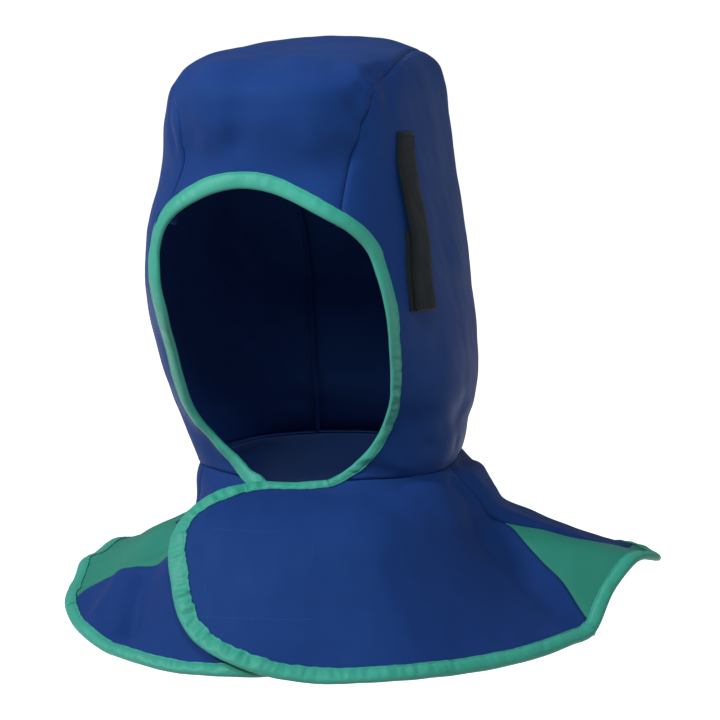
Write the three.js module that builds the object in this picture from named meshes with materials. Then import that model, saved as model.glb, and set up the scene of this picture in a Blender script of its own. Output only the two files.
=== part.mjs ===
// Welder's hood with a shoulder cape, as a head holds it: millimetres, +Z up, the face opening
// looks along -Y and the wearer's left is +X. The origin is inside the crown, where it sits on the head.
import * as THREE from 'three';

// Cloth and how the pieces meet
const CLOTH = 1.2;
const SEAM_GAP = 0.4;
const TAPE_WIDTH = 8;
const TAPE_WALL = 1;
const TAPE_CLEARANCE = 0.9;
const FLAP_CLEARANCE = 1;

// Hood, measured to the outside of the cloth
const HOOD_HEIGHT = 240.5;
const HOOD_HALF_WIDTH = 87.5;
const HOOD_FRONT = 107;
const HOOD_BACK = 104;
const NECK_TILT = 8;

// Cape, from the neck seam to the hem
const CAPE_REACH = 193;
const CAPE_DROP = 102.5;
const FLAP_CURL = 4;

// Straps that hold a helmet, and the patch that closes the flaps
const STRAP_WIDTH = 17.5;
const STRAP_LENGTH = 93.5;
const STRAP_THICKNESS = 1.8;
const STRAP_CLEARANCE = 0.7;
const PATCH_LENGTH = 42;
const PATCH_SHIFT = 1.5;
const PATCH_THICKNESS = 1.4;
const CLOSURE_WIDTH = 50;
const CLOSURE_HEIGHT = 47;

// Colours of the cloths
const BLUE = { color: 0x1f3d78, roughness: 0.85, metalness: 0 };
const GREEN = { color: 0x4aa694, roughness: 0.8, metalness: 0 };
const BLACK = { color: 0x1d1e20, roughness: 0.95, metalness: 0 };

// A table is a list of rows; this gives its columns by name
function table(names, rows) {
  const columns = {};
  names.forEach((name, column) => {
    columns[name] = rows.map((row) => row[column]);
  });
  return columns;
}

// Sections across the hood: level is the share of the hood's height, widths are shares of their sizes
const SECTIONS = table(
  ['level', 'half', 'front', 'back', 'square', 'shift', 'middle'],
  [
    [0, 0, 0, 0, 2.4, 0, 0.19],
    [0.008, 0.32, 0.243, 0.279, 2.4, 0, 0.19],
    [0.025, 0.508, 0.43, 0.481, 2.5, -0.005, 0.17],
    [0.058, 0.68, 0.841, 0.75, 2.9, -0.006, 0.115],
    [0.108, 0.763, 0.972, 0.769, 3.1, -0.014, 0.05],
    [0.187, 0.808, 0.972, 0.837, 3.1, -0.02, 0.01],
    [0.312, 0.862, 0.925, 0.933, 3, -0.022, 0],
    [0.457, 0.943, 1, 1, 2.8, -0.046, 0],
    [0.582, 0.983, 0.991, 0.981, 2.7, -0.034, 0],
    [0.707, 1, 0.804, 0.904, 2.6, -0.006, 0],
    [0.811, 0.983, 0.626, 0.904, 2.5, 0.011, 0],
    [0.915, 0.914, 0.458, 0.933, 2.4, 0.017, 0],
    [1.023, 0.811, 0.355, 0.894, 2.3, 0.034, 0],
  ],
);
const BACK_SQUARE = 2.2;

// Hem of the cape by angle round the body: shares of the reach and drop, and whose slope it follows
const HEM = table(
  ['angle', 'reach', 'drop', 'right', 'left'],
  [
    [-147, 0.891, 0.77, 0, 0.8],
    [-132, 0.865, 0.69, 0, 1],
    [-120, 0.839, 0.62, 0, 1],
    [-107, 0.798, 0.58, 0, 1],
    [-96, 0.772, 0.634, 0, 1],
    [-84, 0.75, 0.7, 0, 0.95],
    [-70, 0.75, 0.762, 0, 0.8],
    [-52, 0.728, 0.862, 0, 0.35],
    [-32, 0.689, 0.931, 0, 0],
    [-7, 0.648, 0.966, 0, 0],
    [18, 0.637, 1, 0, 0],
    [38, 0.674, 0.985, 0, 0],
    [58, 0.705, 0.961, 0.2, 0],
    [73, 0.762, 0.922, 0.5, 0],
    [81, 0.803, 0.883, 0.8, 0],
    [88, 0.839, 0.834, 1, 0],
    [94, 0.87, 0.649, 1, 0],
    [99, 0.922, 0.517, 1, 0],
    [108, 1, 0.527, 1, 0],
    [118, 0.927, 0.507, 1, 0],
    [130, 0.902, 0.62, 1, 0],
    [145, 0.886, 0.737, 0.8, 0],
    [160, 0.87, 0.795, 0.5, 0.2],
    [180, 0.86, 0.815, 0.3, 0.4],
  ],
);

// Slopes of the cape from the neck seam to the hem: how far out and how far down each has come
const SLOPES = table(
  ['along', 'chestOut', 'chestDown', 'rightOut', 'rightDown', 'leftOut', 'leftDown'],
  [
    [0, 0, 0, 0, 0, 0, 0],
    [0.15, 0.22, 0.08, 0.09, 0.14, 0.01, 0.27],
    [0.3, 0.38, 0.18, 0.18, 0.3, 0.06, 0.455],
    [0.45, 0.5, 0.31, 0.25, 0.48, 0.22, 0.585],
    [0.6, 0.62, 0.5, 0.41, 0.61, 0.44, 0.72],
    [0.8, 0.8, 0.77, 0.72, 0.84, 0.75, 0.905],
    [1, 1, 1, 1, 1, 1, 1],
  ],
);

// Crown seams by angle over the head, from the front: shares of the half width
const CROWN_SEAMS = table(
  ['over', 'right', 'left'],
  [
    [0, -0.64, 0.52],
    [22, -0.606, 0.514],
    [32, -0.537, 0.543],
    [40, -0.554, 0.6],
    [50, -0.651, 0.64],
    [65, -0.697, 0.669],
    [80, -0.686, 0.64],
    [100, -0.651, 0.571],
    [120, -0.617, 0.56],
    [150, -0.571, 0.537],
    [180, -0.48, 0.48],
    [210, -0.4, 0.42],
    [240, -0.36, 0.38],
  ],
);

// The whole front edge by angle and level: right flap from its hem up to the throat, round the face,
// and down the free edge of the left flap. Level 1 is the neck seam and 2 the hem.
const RIGHT_FLAP_EDGE = [
  [-18, 2],
  [-3, 1.985],
  [8, 1.95],
  [16, 1.87],
  [21, 1.74],
  [23, 1.58],
  [22, 1.42],
  [18, 1.3],
  [9, 1.2],
  [-2, 1.13],
  [-14, 1.07],
];
const FACE_EDGE = [
  [-28, 1],
  [-39, 0.985],
  [-48.5, 0.96],
  [-54.5, 0.92],
  [-55, 0.865],
  [-49.5, 0.786],
  [-41, 0.69],
  [-33.5, 0.598],
  [-32, 0.525],
  [-32, 0.472],
  [-30, 0.427],
  [-25.5, 0.391],
  [-19.5, 0.362],
  [-13, 0.342],
  [-3.5, 0.331],
  [6.5, 0.342],
  [13.5, 0.362],
  [21, 0.391],
  [29.5, 0.428],
  [35.3, 0.473],
  [37.8, 0.525],
  [40.4, 0.599],
  [43, 0.688],
  [46, 0.77],
  [48.2, 0.838],
  [47.6, 0.892],
  [42, 0.937],
  [33, 0.973],
  [22, 1],
];
const LEFT_FLAP_EDGE = [
  [11, 1.013],
  [-1.5, 1.03],
  [-13, 1.037],
  [-23, 1.045],
  [-30.5, 1.08],
  [-35.5, 1.155],
  [-38.5, 1.22],
  [-41, 1.3],
  [-41.5, 1.43],
  [-37.5, 1.545],
  [-32, 1.65],
  [-26.5, 1.745],
  [-19, 1.845],
  [-9, 1.927],
  [4, 1.98],
  [20, 2],
];
const FRONT_EDGE = table(['angle', 'level'], [...RIGHT_FLAP_EDGE, ...FACE_EDGE, ...LEFT_FLAP_EDGE]);

// Shoulder seams by share of the way down the cape: the angle in the middle and the gusset's spread
const SHOULDERS = table(
  ['along', 'left', 'leftSpread', 'right', 'rightSpread'],
  [
    [0, 93, 0, -74, 0],
    [0.3, 94.5, 0, -76, 0],
    [0.37, 95, 0, -76, 0],
    [0.47, 96, 0, -78, 52],
    [0.54, 96.5, 0.5, -84.5, 55],
    [0.62, 96.5, 3.2, -88.5, 51],
    [0.7, 96.5, 6.5, -92, 46],
    [0.8, 97.4, 11, -94.5, 41],
    [0.9, 99.8, 20, -92.7, 42.5],
    [1, 103, 30, -89.7, 46.5],
  ],
);
const GUSSET_TOPS = { left: 0.55, right: 0.41 };

// Line down the middle of each helmet strap, by share of the strap
const STRAP_LINE = table(
  ['along', 'left', 'right'],
  [
    [0, 51.1, -60],
    [0.2, 50.6, -63],
    [0.42, 52.8, -67.5],
    [0.6, 54.2, -71],
    [0.78, 53.2, -73.5],
    [1, 54.4, -75.5],
  ],
);
const STRAP_TOP = 0.218;
const CLOSURE_MIDDLE = { top: -6.5, foot: -0.5, level: 1.58 };

// Folds of the cloth, each along a line between two places; the rise is negative in a valley
const FOLDS = table(
  ['angle1', 'level1', 'angle2', 'level2', 'width', 'rise'],
  [
    [-24, 0.09, -21, 0.26, 9, -1.6],
    [-13, 0.08, -12, 0.2, 9, 1.4],
    [-2, 0.07, -6, 0.24, 9, -1.2],
    [20, 0.08, 27, 0.26, 9, -1.5],
    [33, 0.09, 32, 0.2, 8, 1.3],
    [30, 0.15, 34, 0.22, 6, -1.6],
    [43, 0.09, 42, 0.15, 6, -1.4],
    [62, 0.86, 88, 0.88, 10, -2],
    [50, 0.94, 85, 0.945, 9, 1.5],
    [-72, 0.9, -62, 0.93, 9, -2],
    [-62, 1.05, -85, 1.08, 9, 2],
    [-80, 1.47, -90, 1.92, 14, 5],
    [24, 1.12, 46, 1.17, 9, -1.4],
    [-62, 1.5, -42, 1.86, 14, -3.5],
    [-52, 1.95, -66, 1.62, 12, 2.5],
  ],
);

// How finely the pieces are divided
const CROWN_COLUMNS = 8;
const SEAM_STEPS = 15;
const FACE_STEPS = 14;
const LEFT_FLAP_STEPS = 21;
const BACK_STEPS = 15;
const FLAP_COLUMNS = 16;
const BACK_COLUMNS = 16;
const LEFT_GUSSET_COLUMNS = 12;
const RIGHT_GUSSET_COLUMNS = 12;
const STRAP_STEPS = 10;
const PATCH_STEPS = 5;

const RADIANS = Math.PI / 180;
const HALF_GAP = SEAM_GAP / 2;

function lerp(a, b, t) {
  return a + (b - a) * t;
}

function clamp(x, low, high) {
  return Math.min(Math.max(x, low), high);
}

function smoothstep(from, to, x) {
  const t = clamp((x - from) / (to - from), 0, 1);
  return t * t * (3 - 2 * t);
}

// Smooth curve through the points of two columns
function along(xs, ys, x) {
  const last = xs.length - 1;
  const q = clamp(x, xs[0], xs[last]);
  let i = 0;
  while (i < last - 1 && q > xs[i + 1]) {
    i += 1;
  }
  const slope = (k) => (ys[k + 1] - ys[k]) / (xs[k + 1] - xs[k]);
  const tangent = (k) => {
    if (k === 0 || k === last) {
      return slope(k === 0 ? 0 : last - 1);
    }
    const before = xs[k] - xs[k - 1];
    const after = xs[k + 1] - xs[k];
    return (slope(k - 1) * after + slope(k) * before) / (before + after);
  };
  const step = xs[i + 1] - xs[i];
  const t = (q - xs[i]) / step;
  const start = (1 + 2 * t) * (1 - t) ** 2 * ys[i] + t * (1 - t) ** 2 * step * tangent(i);
  const end = t * t * (3 - 2 * t) * ys[i + 1] + t * t * (t - 1) * step * tangent(i + 1);
  return start + end;
}

// Shares from 0 to 1 in equal steps
function evenShares(count) {
  return Array.from({ length: count + 1 }, (_, i) => i / count);
}

// Shares with two narrow first steps, together as wide as the tape on that edge
function edgeShares(count, length, growth = 1) {
  const first = (1.1 * TAPE_WIDTH) / length;
  return [0, first / 2, ...growingShares(count - 2, growth).map((share) => lerp(first, 1, share))];
}

// Shares whose steps grow evenly, the last being so many times the first
function growingShares(count, growth) {
  return evenShares(count).map((share) => (share + (share * share * (growth - 1)) / 2) / (0.5 + growth / 2));
}

function reversed(shareList) {
  return shareList.map((share) => 1 - share).reverse();
}

// The half width, reaches, squareness and centre of the hood at a share of its height
const SECTION_ROOTS = SECTIONS.level.map(Math.sqrt);
function section(level) {
  const root = Math.sqrt(Math.max(level, 0));
  return {
    half: HOOD_HALF_WIDTH * along(SECTION_ROOTS, SECTIONS.half, root),
    front: HOOD_FRONT * along(SECTION_ROOTS, SECTIONS.front, root),
    back: HOOD_BACK * along(SECTION_ROOTS, SECTIONS.back, root),
    square: along(SECTION_ROOTS, SECTIONS.square, root),
    x: HOOD_HALF_WIDTH * along(SECTION_ROOTS, SECTIONS.shift, root),
    y: HOOD_FRONT * along(SECTION_ROOTS, SECTIONS.middle, root),
  };
}

function neckDrop(angle) {
  return HOOD_HEIGHT + NECK_TILT * Math.cos(angle * RADIANS);
}

// A point of the hood's outside, with the angle counted from the face towards +X
function hoodPoint(angle, level) {
  const drop = level * neckDrop(angle);
  const cut = section(drop / HOOD_HEIGHT);
  const sine = Math.sin(angle * RADIANS);
  const cosine = Math.cos(angle * RADIANS);
  const reach = cosine > 0 ? cut.front : cut.back;
  const power = cosine > 0 ? cut.square : BACK_SQUARE;
  const sum = (Math.abs(sine) / cut.half) ** power + (Math.abs(cosine) / reach) ** power;
  const radius = sum ** (-1 / power);
  return new THREE.Vector3(cut.x + radius * sine, cut.y - radius * cosine, CLOTH - drop);
}

// The hem table repeated on both sides, so that it runs smoothly round the back
const HEM_TURNS = [-360, 0, 360];
const HEM_ANGLES = HEM_TURNS.flatMap((turn) => HEM.angle.map((angle) => angle + turn));
function aroundHem(name, angle) {
  return along(HEM_ANGLES, HEM_TURNS.flatMap(() => HEM[name]), angle);
}

// A point of the cape's outside at a share of the way from the neck seam to the hem
function capePoint(angle, share) {
  const neck = hoodPoint(angle, 1);
  const right = clamp(aroundHem('right', angle), 0, 1);
  const left = clamp(aroundHem('left', angle), 0, 1 - right);
  const mix = (way) => {
    const slope = (name) => along(SLOPES.along, SLOPES[name + way], share);
    return (1 - right - left) * slope('chest') + right * slope('right') + left * slope('left');
  };
  const reach = CAPE_REACH * aroundHem('reach', angle);
  const drop = HOOD_HEIGHT + CAPE_DROP * aroundHem('drop', angle);
  const out = mix('Out');
  return new THREE.Vector3(
    lerp(neck.x, reach * Math.sin(angle * RADIANS), out),
    lerp(neck.y, -reach * Math.cos(angle * RADIANS), out),
    lerp(neck.z, CLOTH - drop, mix('Down')),
  );
}

// Hood and cape as one surface
function sharpPoint(angle, level) {
  return level <= 1 ? hoodPoint(angle, level) : capePoint(angle, level - 1);
}

// The length of cloth down to a level, and the level reached by going a length further down
function runDown(level) {
  return level <= 1 ? level * HOOD_HEIGHT : HOOD_HEIGHT + (level - 1) * CAPE_DROP;
}

function stepDown(level, length) {
  const moved = runDown(level) + length;
  return moved <= HOOD_HEIGHT ? moved / HOOD_HEIGHT : 1 + (moved - HOOD_HEIGHT) / CAPE_DROP;
}

// The crease at the neck seam is rounded, most under the chin, by averaging over a run of cloth
const CREASE_ROUND = 2.5;
const THROAT_ROUND = 11;
const CREASE_PARTS = [-1, -0.5, 0, 0.5, 1];
function roundPoint(angle, level) {
  const throat = smoothstep(70, 40, Math.abs(angle));
  const near = smoothstep(0.8, 0.92, level) * smoothstep(1.4, 1.2, level);
  const run = lerp(CREASE_ROUND, THROAT_ROUND, throat) * near;
  if (run === 0) {
    return sharpPoint(angle, level);
  }
  return CREASE_PARTS.map((part) => sharpPoint(angle, stepDown(level, part * run)))
    .reduce((sum, point) => sum.add(point), new THREE.Vector3())
    .divideScalar(CREASE_PARTS.length);
}

// How far the folds lift the cloth at a point
const FOLD_LINES = FOLDS.angle1.map((angle, i) => ({
  line: new THREE.Line3(
    sharpPoint(angle, FOLDS.level1[i]),
    sharpPoint(FOLDS.angle2[i], FOLDS.level2[i]),
  ),
  width: FOLDS.width[i],
  rise: FOLDS.rise[i],
}));
function foldHeight(point) {
  const nearest = new THREE.Vector3();
  return FOLD_LINES.reduce((height, fold) => {
    fold.line.closestPointToPoint(point, true, nearest);
    return height + fold.rise * Math.exp(-((nearest.distanceTo(point) / fold.width) ** 2));
  }, 0);
}

// The left flap lies over the right one: each stands off the common surface by half of what both need,
// and the free edge of the left one curls outwards
const LAP = (CLOTH + 2 * (TAPE_WALL + TAPE_CLEARANCE) + FLAP_CLEARANCE) / 2;
const OVER = 1;
const UNDER = -1;
function lapHeight(angle, level, side) {
  const down = LAP * smoothstep(0.88, 0.98, level);
  if (side === OVER) {
    const curl = smoothstep(-24, -46, angle) * smoothstep(1.06, 1.2, level) * smoothstep(1.8, 1.5, level);
    return down * smoothstep(75, 27, angle) + FLAP_CURL * curl;
  }
  const turned = angle > 180 ? angle - 360 : angle;
  return side === UNDER ? -down * smoothstep(-80, -52, turned) : 0;
}

// The way out of a surface at an angle and level, from points to all sides of it
function outward(surface, angle, level, turn, slide) {
  const lower = surface(angle, Math.min(stepDown(level, slide), 2));
  const upper = surface(angle, Math.max(stepDown(level, -slide), 0));
  const across = surface(angle + turn, level).sub(surface(angle - turn, level));
  return lower.sub(upper).cross(across).normalize();
}

// A place on the cloth: its point, lifted by folds and lap, and the way out of the cloth there
function place(angle, level, side) {
  const cloth = (a, l) => {
    const base = roundPoint(a, l);
    const height = foldHeight(base) + lapHeight(a, l, side);
    return height === 0 ? base : base.addScaledVector(outward(roundPoint, a, l, 2, 6), height);
  };
  return { point: cloth(angle, level), out: outward(cloth, angle, level, 0.4, 0.6), angle, level, side };
}

function raise(spot, height) {
  return spot.point.clone().addScaledVector(spot.out, height);
}

// The place reached by walking a length over the cloth in a direction
function walk(spot, direction, length) {
  const { angle, level, side } = spot;
  const turn = 0.5;
  const slide = 0.8;
  const lower = Math.min(stepDown(level, slide), 2);
  const upper = stepDown(level, -slide);
  const wide = roundPoint(angle + turn, level).sub(roundPoint(angle - turn, level));
  const tall = roundPoint(angle, lower).sub(roundPoint(angle, upper));
  wide.divideScalar(2 * turn);
  tall.divideScalar(runDown(lower) - runDown(upper));
  const ww = wide.dot(wide);
  const wt = wide.dot(tall);
  const tt = tall.dot(tall);
  const dw = direction.dot(wide) * length;
  const dt = direction.dot(tall) * length;
  const area = ww * tt - wt * wt;
  const newLevel = stepDown(level, (dt * ww - dw * wt) / area);
  return place(angle + (dw * tt - dt * wt) / area, Math.min(newLevel, 2), side);
}

// A curve over the cloth through angles and levels, measured by length of cloth
function clothCurve({ angle, level }) {
  const lengths = [0];
  for (let i = 1; i < angle.length; i += 1) {
    const from = sharpPoint(angle[i - 1], level[i - 1]);
    lengths.push(lengths[i - 1] + from.distanceTo(sharpPoint(angle[i], level[i])));
  }
  const at = (length) => ({
    angle: along(lengths, angle, length),
    level: along(lengths, level, length),
  });
  return { lengths, at };
}

const FRONT = clothCurve(FRONT_EDGE);
const FACE_START = FRONT.lengths[RIGHT_FLAP_EDGE.length];
const FACE_END = FRONT.lengths[RIGHT_FLAP_EDGE.length + FACE_EDGE.length - 1];
const FRONT_LENGTH = FRONT.lengths[FRONT.lengths.length - 1];

// The place on the hood in the plane at x, found at an angle over the head from its middle
const MIDDLE_Y = -0.05 * HOOD_FRONT;
const MIDDLE_Z = -0.5 * HOOD_HEIGHT;
function overHead(x, over) {
  const cosine = Math.cos(over * RADIANS);
  const sine = Math.sin(over * RADIANS);
  let near = 0;
  let far = 1.1 * HOOD_HEIGHT;
  for (let i = 0; i < 40; i += 1) {
    const reach = (near + far) / 2;
    const y = MIDDLE_Y - reach * cosine;
    const z = MIDDLE_Z + reach * sine;
    const cut = section((CLOTH - z) / HOOD_HEIGHT);
    const ahead = y < cut.y;
    const power = ahead ? cut.square : BACK_SQUARE;
    const deep = Math.abs(y - cut.y) / (ahead ? cut.front : cut.back);
    const inside = z < CLOTH && (Math.abs(x - cut.x) / cut.half) ** power + deep ** power < 1;
    near = inside ? reach : near;
    far = inside ? far : reach;
  }
  return new THREE.Vector3(x, MIDDLE_Y - near * cosine, MIDDLE_Z + near * sine);
}

function overAngle(point) {
  return Math.atan2(point.z - MIDDLE_Z, MIDDLE_Y - point.y) / RADIANS;
}

function seamX(side, over) {
  return HOOD_HALF_WIDTH * along(CROWN_SEAMS.over, CROWN_SEAMS[side], over);
}

// The angle and level of a point on the plain hood
function hoodPlace({ x, y, z }) {
  const cut = section((CLOTH - z) / HOOD_HEIGHT);
  const angle = Math.atan2(x - cut.x, cut.y - y) / RADIANS;
  return { angle, level: (CLOTH - z) / neckDrop(angle) };
}

// Where along the front edge a crown seam runs into it
function seamAtFace(side) {
  let low = (FACE_START + FACE_END) / 2;
  let high = side === 'right' ? FACE_START : FACE_END;
  for (let i = 0; i < 40; i += 1) {
    const length = (low + high) / 2;
    const edge = FRONT.at(length);
    const point = hoodPoint(edge.angle, edge.level);
    const inside = Math.abs(point.x) < Math.abs(seamX(side, overAngle(point)));
    low = inside ? length : low;
    high = inside ? high : length;
  }
  return low;
}
const SEAM_START = { right: seamAtFace('right'), left: seamAtFace('left') };

// A line of the crown from the face edge to the nape, at a share across it
function crownLine(across, start) {
  const edge = FRONT.at(start);
  const from = overAngle(hoodPoint(edge.angle, edge.level));
  const xAt = (over) => lerp(seamX('right', over), seamX('left', over), across);
  let low = 180;
  let high = 240;
  for (let i = 0; i < 40; i += 1) {
    const over = (low + high) / 2;
    const above = hoodPlace(overHead(xAt(over), over)).level < stepDown(1, -HALF_GAP);
    low = above ? over : low;
    high = above ? high : over;
  }
  return (share, shift) => {
    const over = lerp(from, low, share);
    return overHead(xAt(over) + shift, over);
  };
}

// A place on the crown, whose outward direction comes from its neighbours
function crownPlace(line, share, shift) {
  const nudge = 0.6;
  const slide = 0.003;
  const point = line(share, shift);
  const across = line(share, shift + nudge).sub(line(share, shift - nudge));
  const back = line(Math.min(share + slide, 1), shift).sub(line(Math.max(share - slide, 0), shift));
  const out = across.cross(back).normalize();
  return { point: point.addScaledVector(out, foldHeight(point)), out };
}

// A closed mesh from triangles of points; points that coincide become one
const MERGE = 0.0005;
function closedMesh(name, finish, triangles) {
  const points = [];
  const numbers = new Map();
  const number = (point) => {
    const key = point.toArray().map((value) => Math.round(value / MERGE)).join(',');
    if (!numbers.has(key)) {
      numbers.set(key, points.length / 3);
      points.push(point.x, point.y, point.z);
    }
    return numbers.get(key);
  };
  const index = triangles
    .map((corners) => corners.map(number))
    .filter(([a, b, c]) => a !== b && b !== c && c !== a);
  const geometry = new THREE.BufferGeometry();
  geometry.setAttribute('position', new THREE.Float32BufferAttribute(points, 3));
  geometry.setIndex(index.flat());
  geometry.computeVertexNormals();
  const mesh = new THREE.Mesh(geometry, new THREE.MeshStandardMaterial({ ...finish, flatShading: true }));
  mesh.name = name;
  return mesh;
}

// Two triangles between four corners, split along the shorter way across
function quad(a, b, c, d) {
  return a.distanceTo(c) < b.distanceTo(d) ? [[a, b, c], [a, c, d]] : [[a, b, d], [b, c, d]];
}

// A sheet between two grids of points: rows go down the cloth, columns towards the wearer's left
function sheet(name, finish, outer, inner) {
  const rows = outer.length - 1;
  const last = outer[0].length - 1;
  const triangles = [];
  for (let i = 0; i < rows; i += 1) {
    for (let j = 0; j < last; j += 1) {
      triangles.push(...quad(outer[i][j], outer[i + 1][j], outer[i + 1][j + 1], outer[i][j + 1]));
      triangles.push(...quad(inner[i][j], inner[i][j + 1], inner[i + 1][j + 1], inner[i + 1][j]));
    }
    triangles.push(...quad(outer[i][0], inner[i][0], inner[i + 1][0], outer[i + 1][0]));
    triangles.push(...quad(outer[i][last], outer[i + 1][last], inner[i + 1][last], inner[i][last]));
  }
  for (let j = 0; j < last; j += 1) {
    triangles.push(...quad(outer[0][j], outer[0][j + 1], inner[0][j + 1], inner[0][j]));
    triangles.push(...quad(outer[rows][j], inner[rows][j], inner[rows][j + 1], outer[rows][j + 1]));
  }
  return closedMesh(name, finish, triangles);
}

function panel(name, finish, grid, top = 0, bottom = -CLOTH) {
  const outer = grid.map((row) => row.map((spot) => raise(spot, top)));
  const inner = grid.map((row) => row.map((spot) => raise(spot, bottom)));
  return sheet(name, finish, outer, inner);
}

// The crown runs from the forehead over the head to the nape; its seams share their steps with the
// sides, whose columns end at the crest of the seam and whose rows go on from there to the neck
const CREST = 0.567;
const SIDE_COLUMNS = edgeShares(SEAM_STEPS, HOOD_HEIGHT);
const SIDE_ROWS = reversed(growingShares(FACE_STEPS, 2.2));
const SEAM_SHARES = [
  ...SIDE_COLUMNS.map((share) => share * CREST),
  ...SIDE_ROWS.slice(1).map((share) => lerp(CREST, 1, share)),
];
const CROWN_STARTS = evenShares(CROWN_COLUMNS).map((share) =>
  lerp(SEAM_START.right, SEAM_START.left, share),
);

function crownPanel() {
  const columns = CROWN_STARTS.map((start, i) => {
    const edge = FRONT.at(start);
    const point = hoodPoint(edge.angle, edge.level);
    const right = seamX('right', overAngle(point));
    const across = (point.x - right) / (seamX('left', overAngle(point)) - right);
    const outermost = Number(i === 0) - Number(i === CROWN_COLUMNS);
    return { line: crownLine(across, start), shift: HALF_GAP * outermost };
  });
  const grid = SEAM_SHARES.map((share) =>
    columns.map(({ line, shift }) => crownPlace(line, share, shift)),
  );
  return panel('crown_panel', BLUE, grid.reverse());
}

// A side panel lies between the crown seam, the face edge and the neck seam. Its depth is the root
// of the level, so that its rows spread evenly where the crown is flat.
function sidePanel(name, side) {
  const sign = side === OVER ? 1 : -1;
  const half = side === OVER ? 'left' : 'right';
  const start = SEAM_START[half];
  const end = side === OVER ? FACE_END : FACE_START;
  const neck = stepDown(1, -HALF_GAP);
  const line = crownLine(side === OVER ? 1 : 0, start);
  const turned = ({ angle, level }) => [sign * angle, Math.sqrt(Math.min(level, neck))];
  const seam = (share) => turned(hoodPlace(line(share, sign * HALF_GAP)));
  const face = (share) => turned(FRONT.at(lerp(start, end, share)));
  const throat = face(1);
  const nape = seam(1);
  const grid = SIDE_ROWS.map((w) => {
    const row = SIDE_COLUMNS.map((u) => {
      const [angle, depth] = [0, 1].map((k) => {
        const acrossRow = lerp(face(w)[k], seam(lerp(CREST, 1, w))[k], u);
        const downColumn = lerp(seam(u * CREST)[k], lerp(throat[k], nape[k], u), w);
        const corners = lerp(lerp(face(0)[k], seam(CREST)[k], u), lerp(throat[k], nape[k], u), w);
        return acrossRow + downColumn - corners;
      });
      return place(sign * angle, Math.min(depth, Math.sqrt(neck)) ** 2, side);
    });
    return side === OVER ? row : row.reverse();
  });
  return panel(name, BLUE, grid);
}

// A part of the cape between two edges, each giving angle and level by a share of the way down
function capePanel(name, finish, right, left, rows, columns, side) {
  const grid = rows.map((down) => {
    const from = right(down);
    const to = left(down);
    return columns.map((share) =>
      place(lerp(from.angle, to.angle, share), lerp(from.level, to.level, share), side),
    );
  });
  return panel(name, finish, grid);
}

const CAPE_TOP = stepDown(1, HALF_GAP) - 1;
const SLOPE_LENGTH = 1.3 * CAPE_DROP;

// Rows of a part of the cape: narrow at the crease of the neck and under the tape at the hem
function capeRows(count, growth) {
  const hemRow = 1 - (1.1 * TAPE_WIDTH) / SLOPE_LENGTH;
  return [...growingShares(count - 2, growth).map((share) => share * hemRow), (1 + hemRow) / 2, 1];
}
const LEFT_FLAP_ROWS = capeRows(LEFT_FLAP_STEPS, 1.8);

const BACK_ROWS = capeRows(BACK_STEPS, 1.8);

// An edge beside a shoulder seam at a share down it: towards larger angles where way is 1, else -1.
// It keeps so many half gaps from the seam, on the gusset's side where inset is above 0.
function shoulder(half, way, inset, down) {
  const share = Math.max(down, CAPE_TOP);
  const spread = Math.max(along(SHOULDERS.along, SHOULDERS[`${half}Spread`], share), 0);
  const point = capePoint(SHOULDERS[half][0], share);
  const turn = HALF_GAP / (Math.hypot(point.x, point.y) * RADIANS);
  const middle = along(SHOULDERS.along, SHOULDERS[half], share);
  return { angle: middle + way * (spread / 2 - inset * turn), level: 1 + share };
}

function flapEdge(from, to, share) {
  const { angle, level } = FRONT.at(lerp(from, to, share));
  return { angle, level: Math.max(level, 1 + CAPE_TOP) };
}

const LEFT_FLAP_SHARES = edgeShares(FLAP_COLUMNS, 1.4 * CAPE_REACH, 0.8);
const RIGHT_FLAP_SHARES = reversed(edgeShares(FLAP_COLUMNS - 5, 0.8 * CAPE_REACH));
const BACK_SHARES = evenShares(BACK_COLUMNS).map(
  (share) => share - (0.5 * Math.sin(2 * Math.PI * share)) / (2 * Math.PI),
);
const GUSSET_SHARES = {
  left: evenShares(LEFT_GUSSET_COLUMNS),
  right: evenShares(RIGHT_GUSSET_COLUMNS),
};

function leftFlap() {
  const free = (down) => flapEdge(FACE_END, FRONT_LENGTH, down);
  const seam = (down) => shoulder('left', -1, -1, down);
  return capePanel('cape_front_left', BLUE, free, seam, LEFT_FLAP_ROWS, LEFT_FLAP_SHARES, OVER);
}

function rightFlap() {
  const seam = (down) => shoulder('right', 1, -1, down);
  const free = (down) => flapEdge(FACE_START, 0, down);
  return capePanel('cape_front_right', BLUE, seam, free, BACK_ROWS, RIGHT_FLAP_SHARES, UNDER);
}

function capeBack() {
  const left = (down) => shoulder('left', 1, -1, down);
  const right = (down) => {
    const { angle, level } = shoulder('right', -1, -1, down);
    return { angle: angle + 360, level };
  };
  return capePanel('cape_back', BLUE, left, right, BACK_ROWS, BACK_SHARES, 0);
}

// Stretch gussets widen from a narrow top on the shoulder to the hem
function gusset(half, side) {
  const top = GUSSET_TOPS[half];
  const rows = [top, ...BACK_ROWS.filter((row) => row > top + 0.04)];
  const from = (down) => shoulder(half, -1, 2, down);
  const to = (down) => shoulder(half, 1, 2, down);
  return capePanel(`gusset_${half}`, GREEN, from, to, rows, GUSSET_SHARES[half], side);
}

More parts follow.
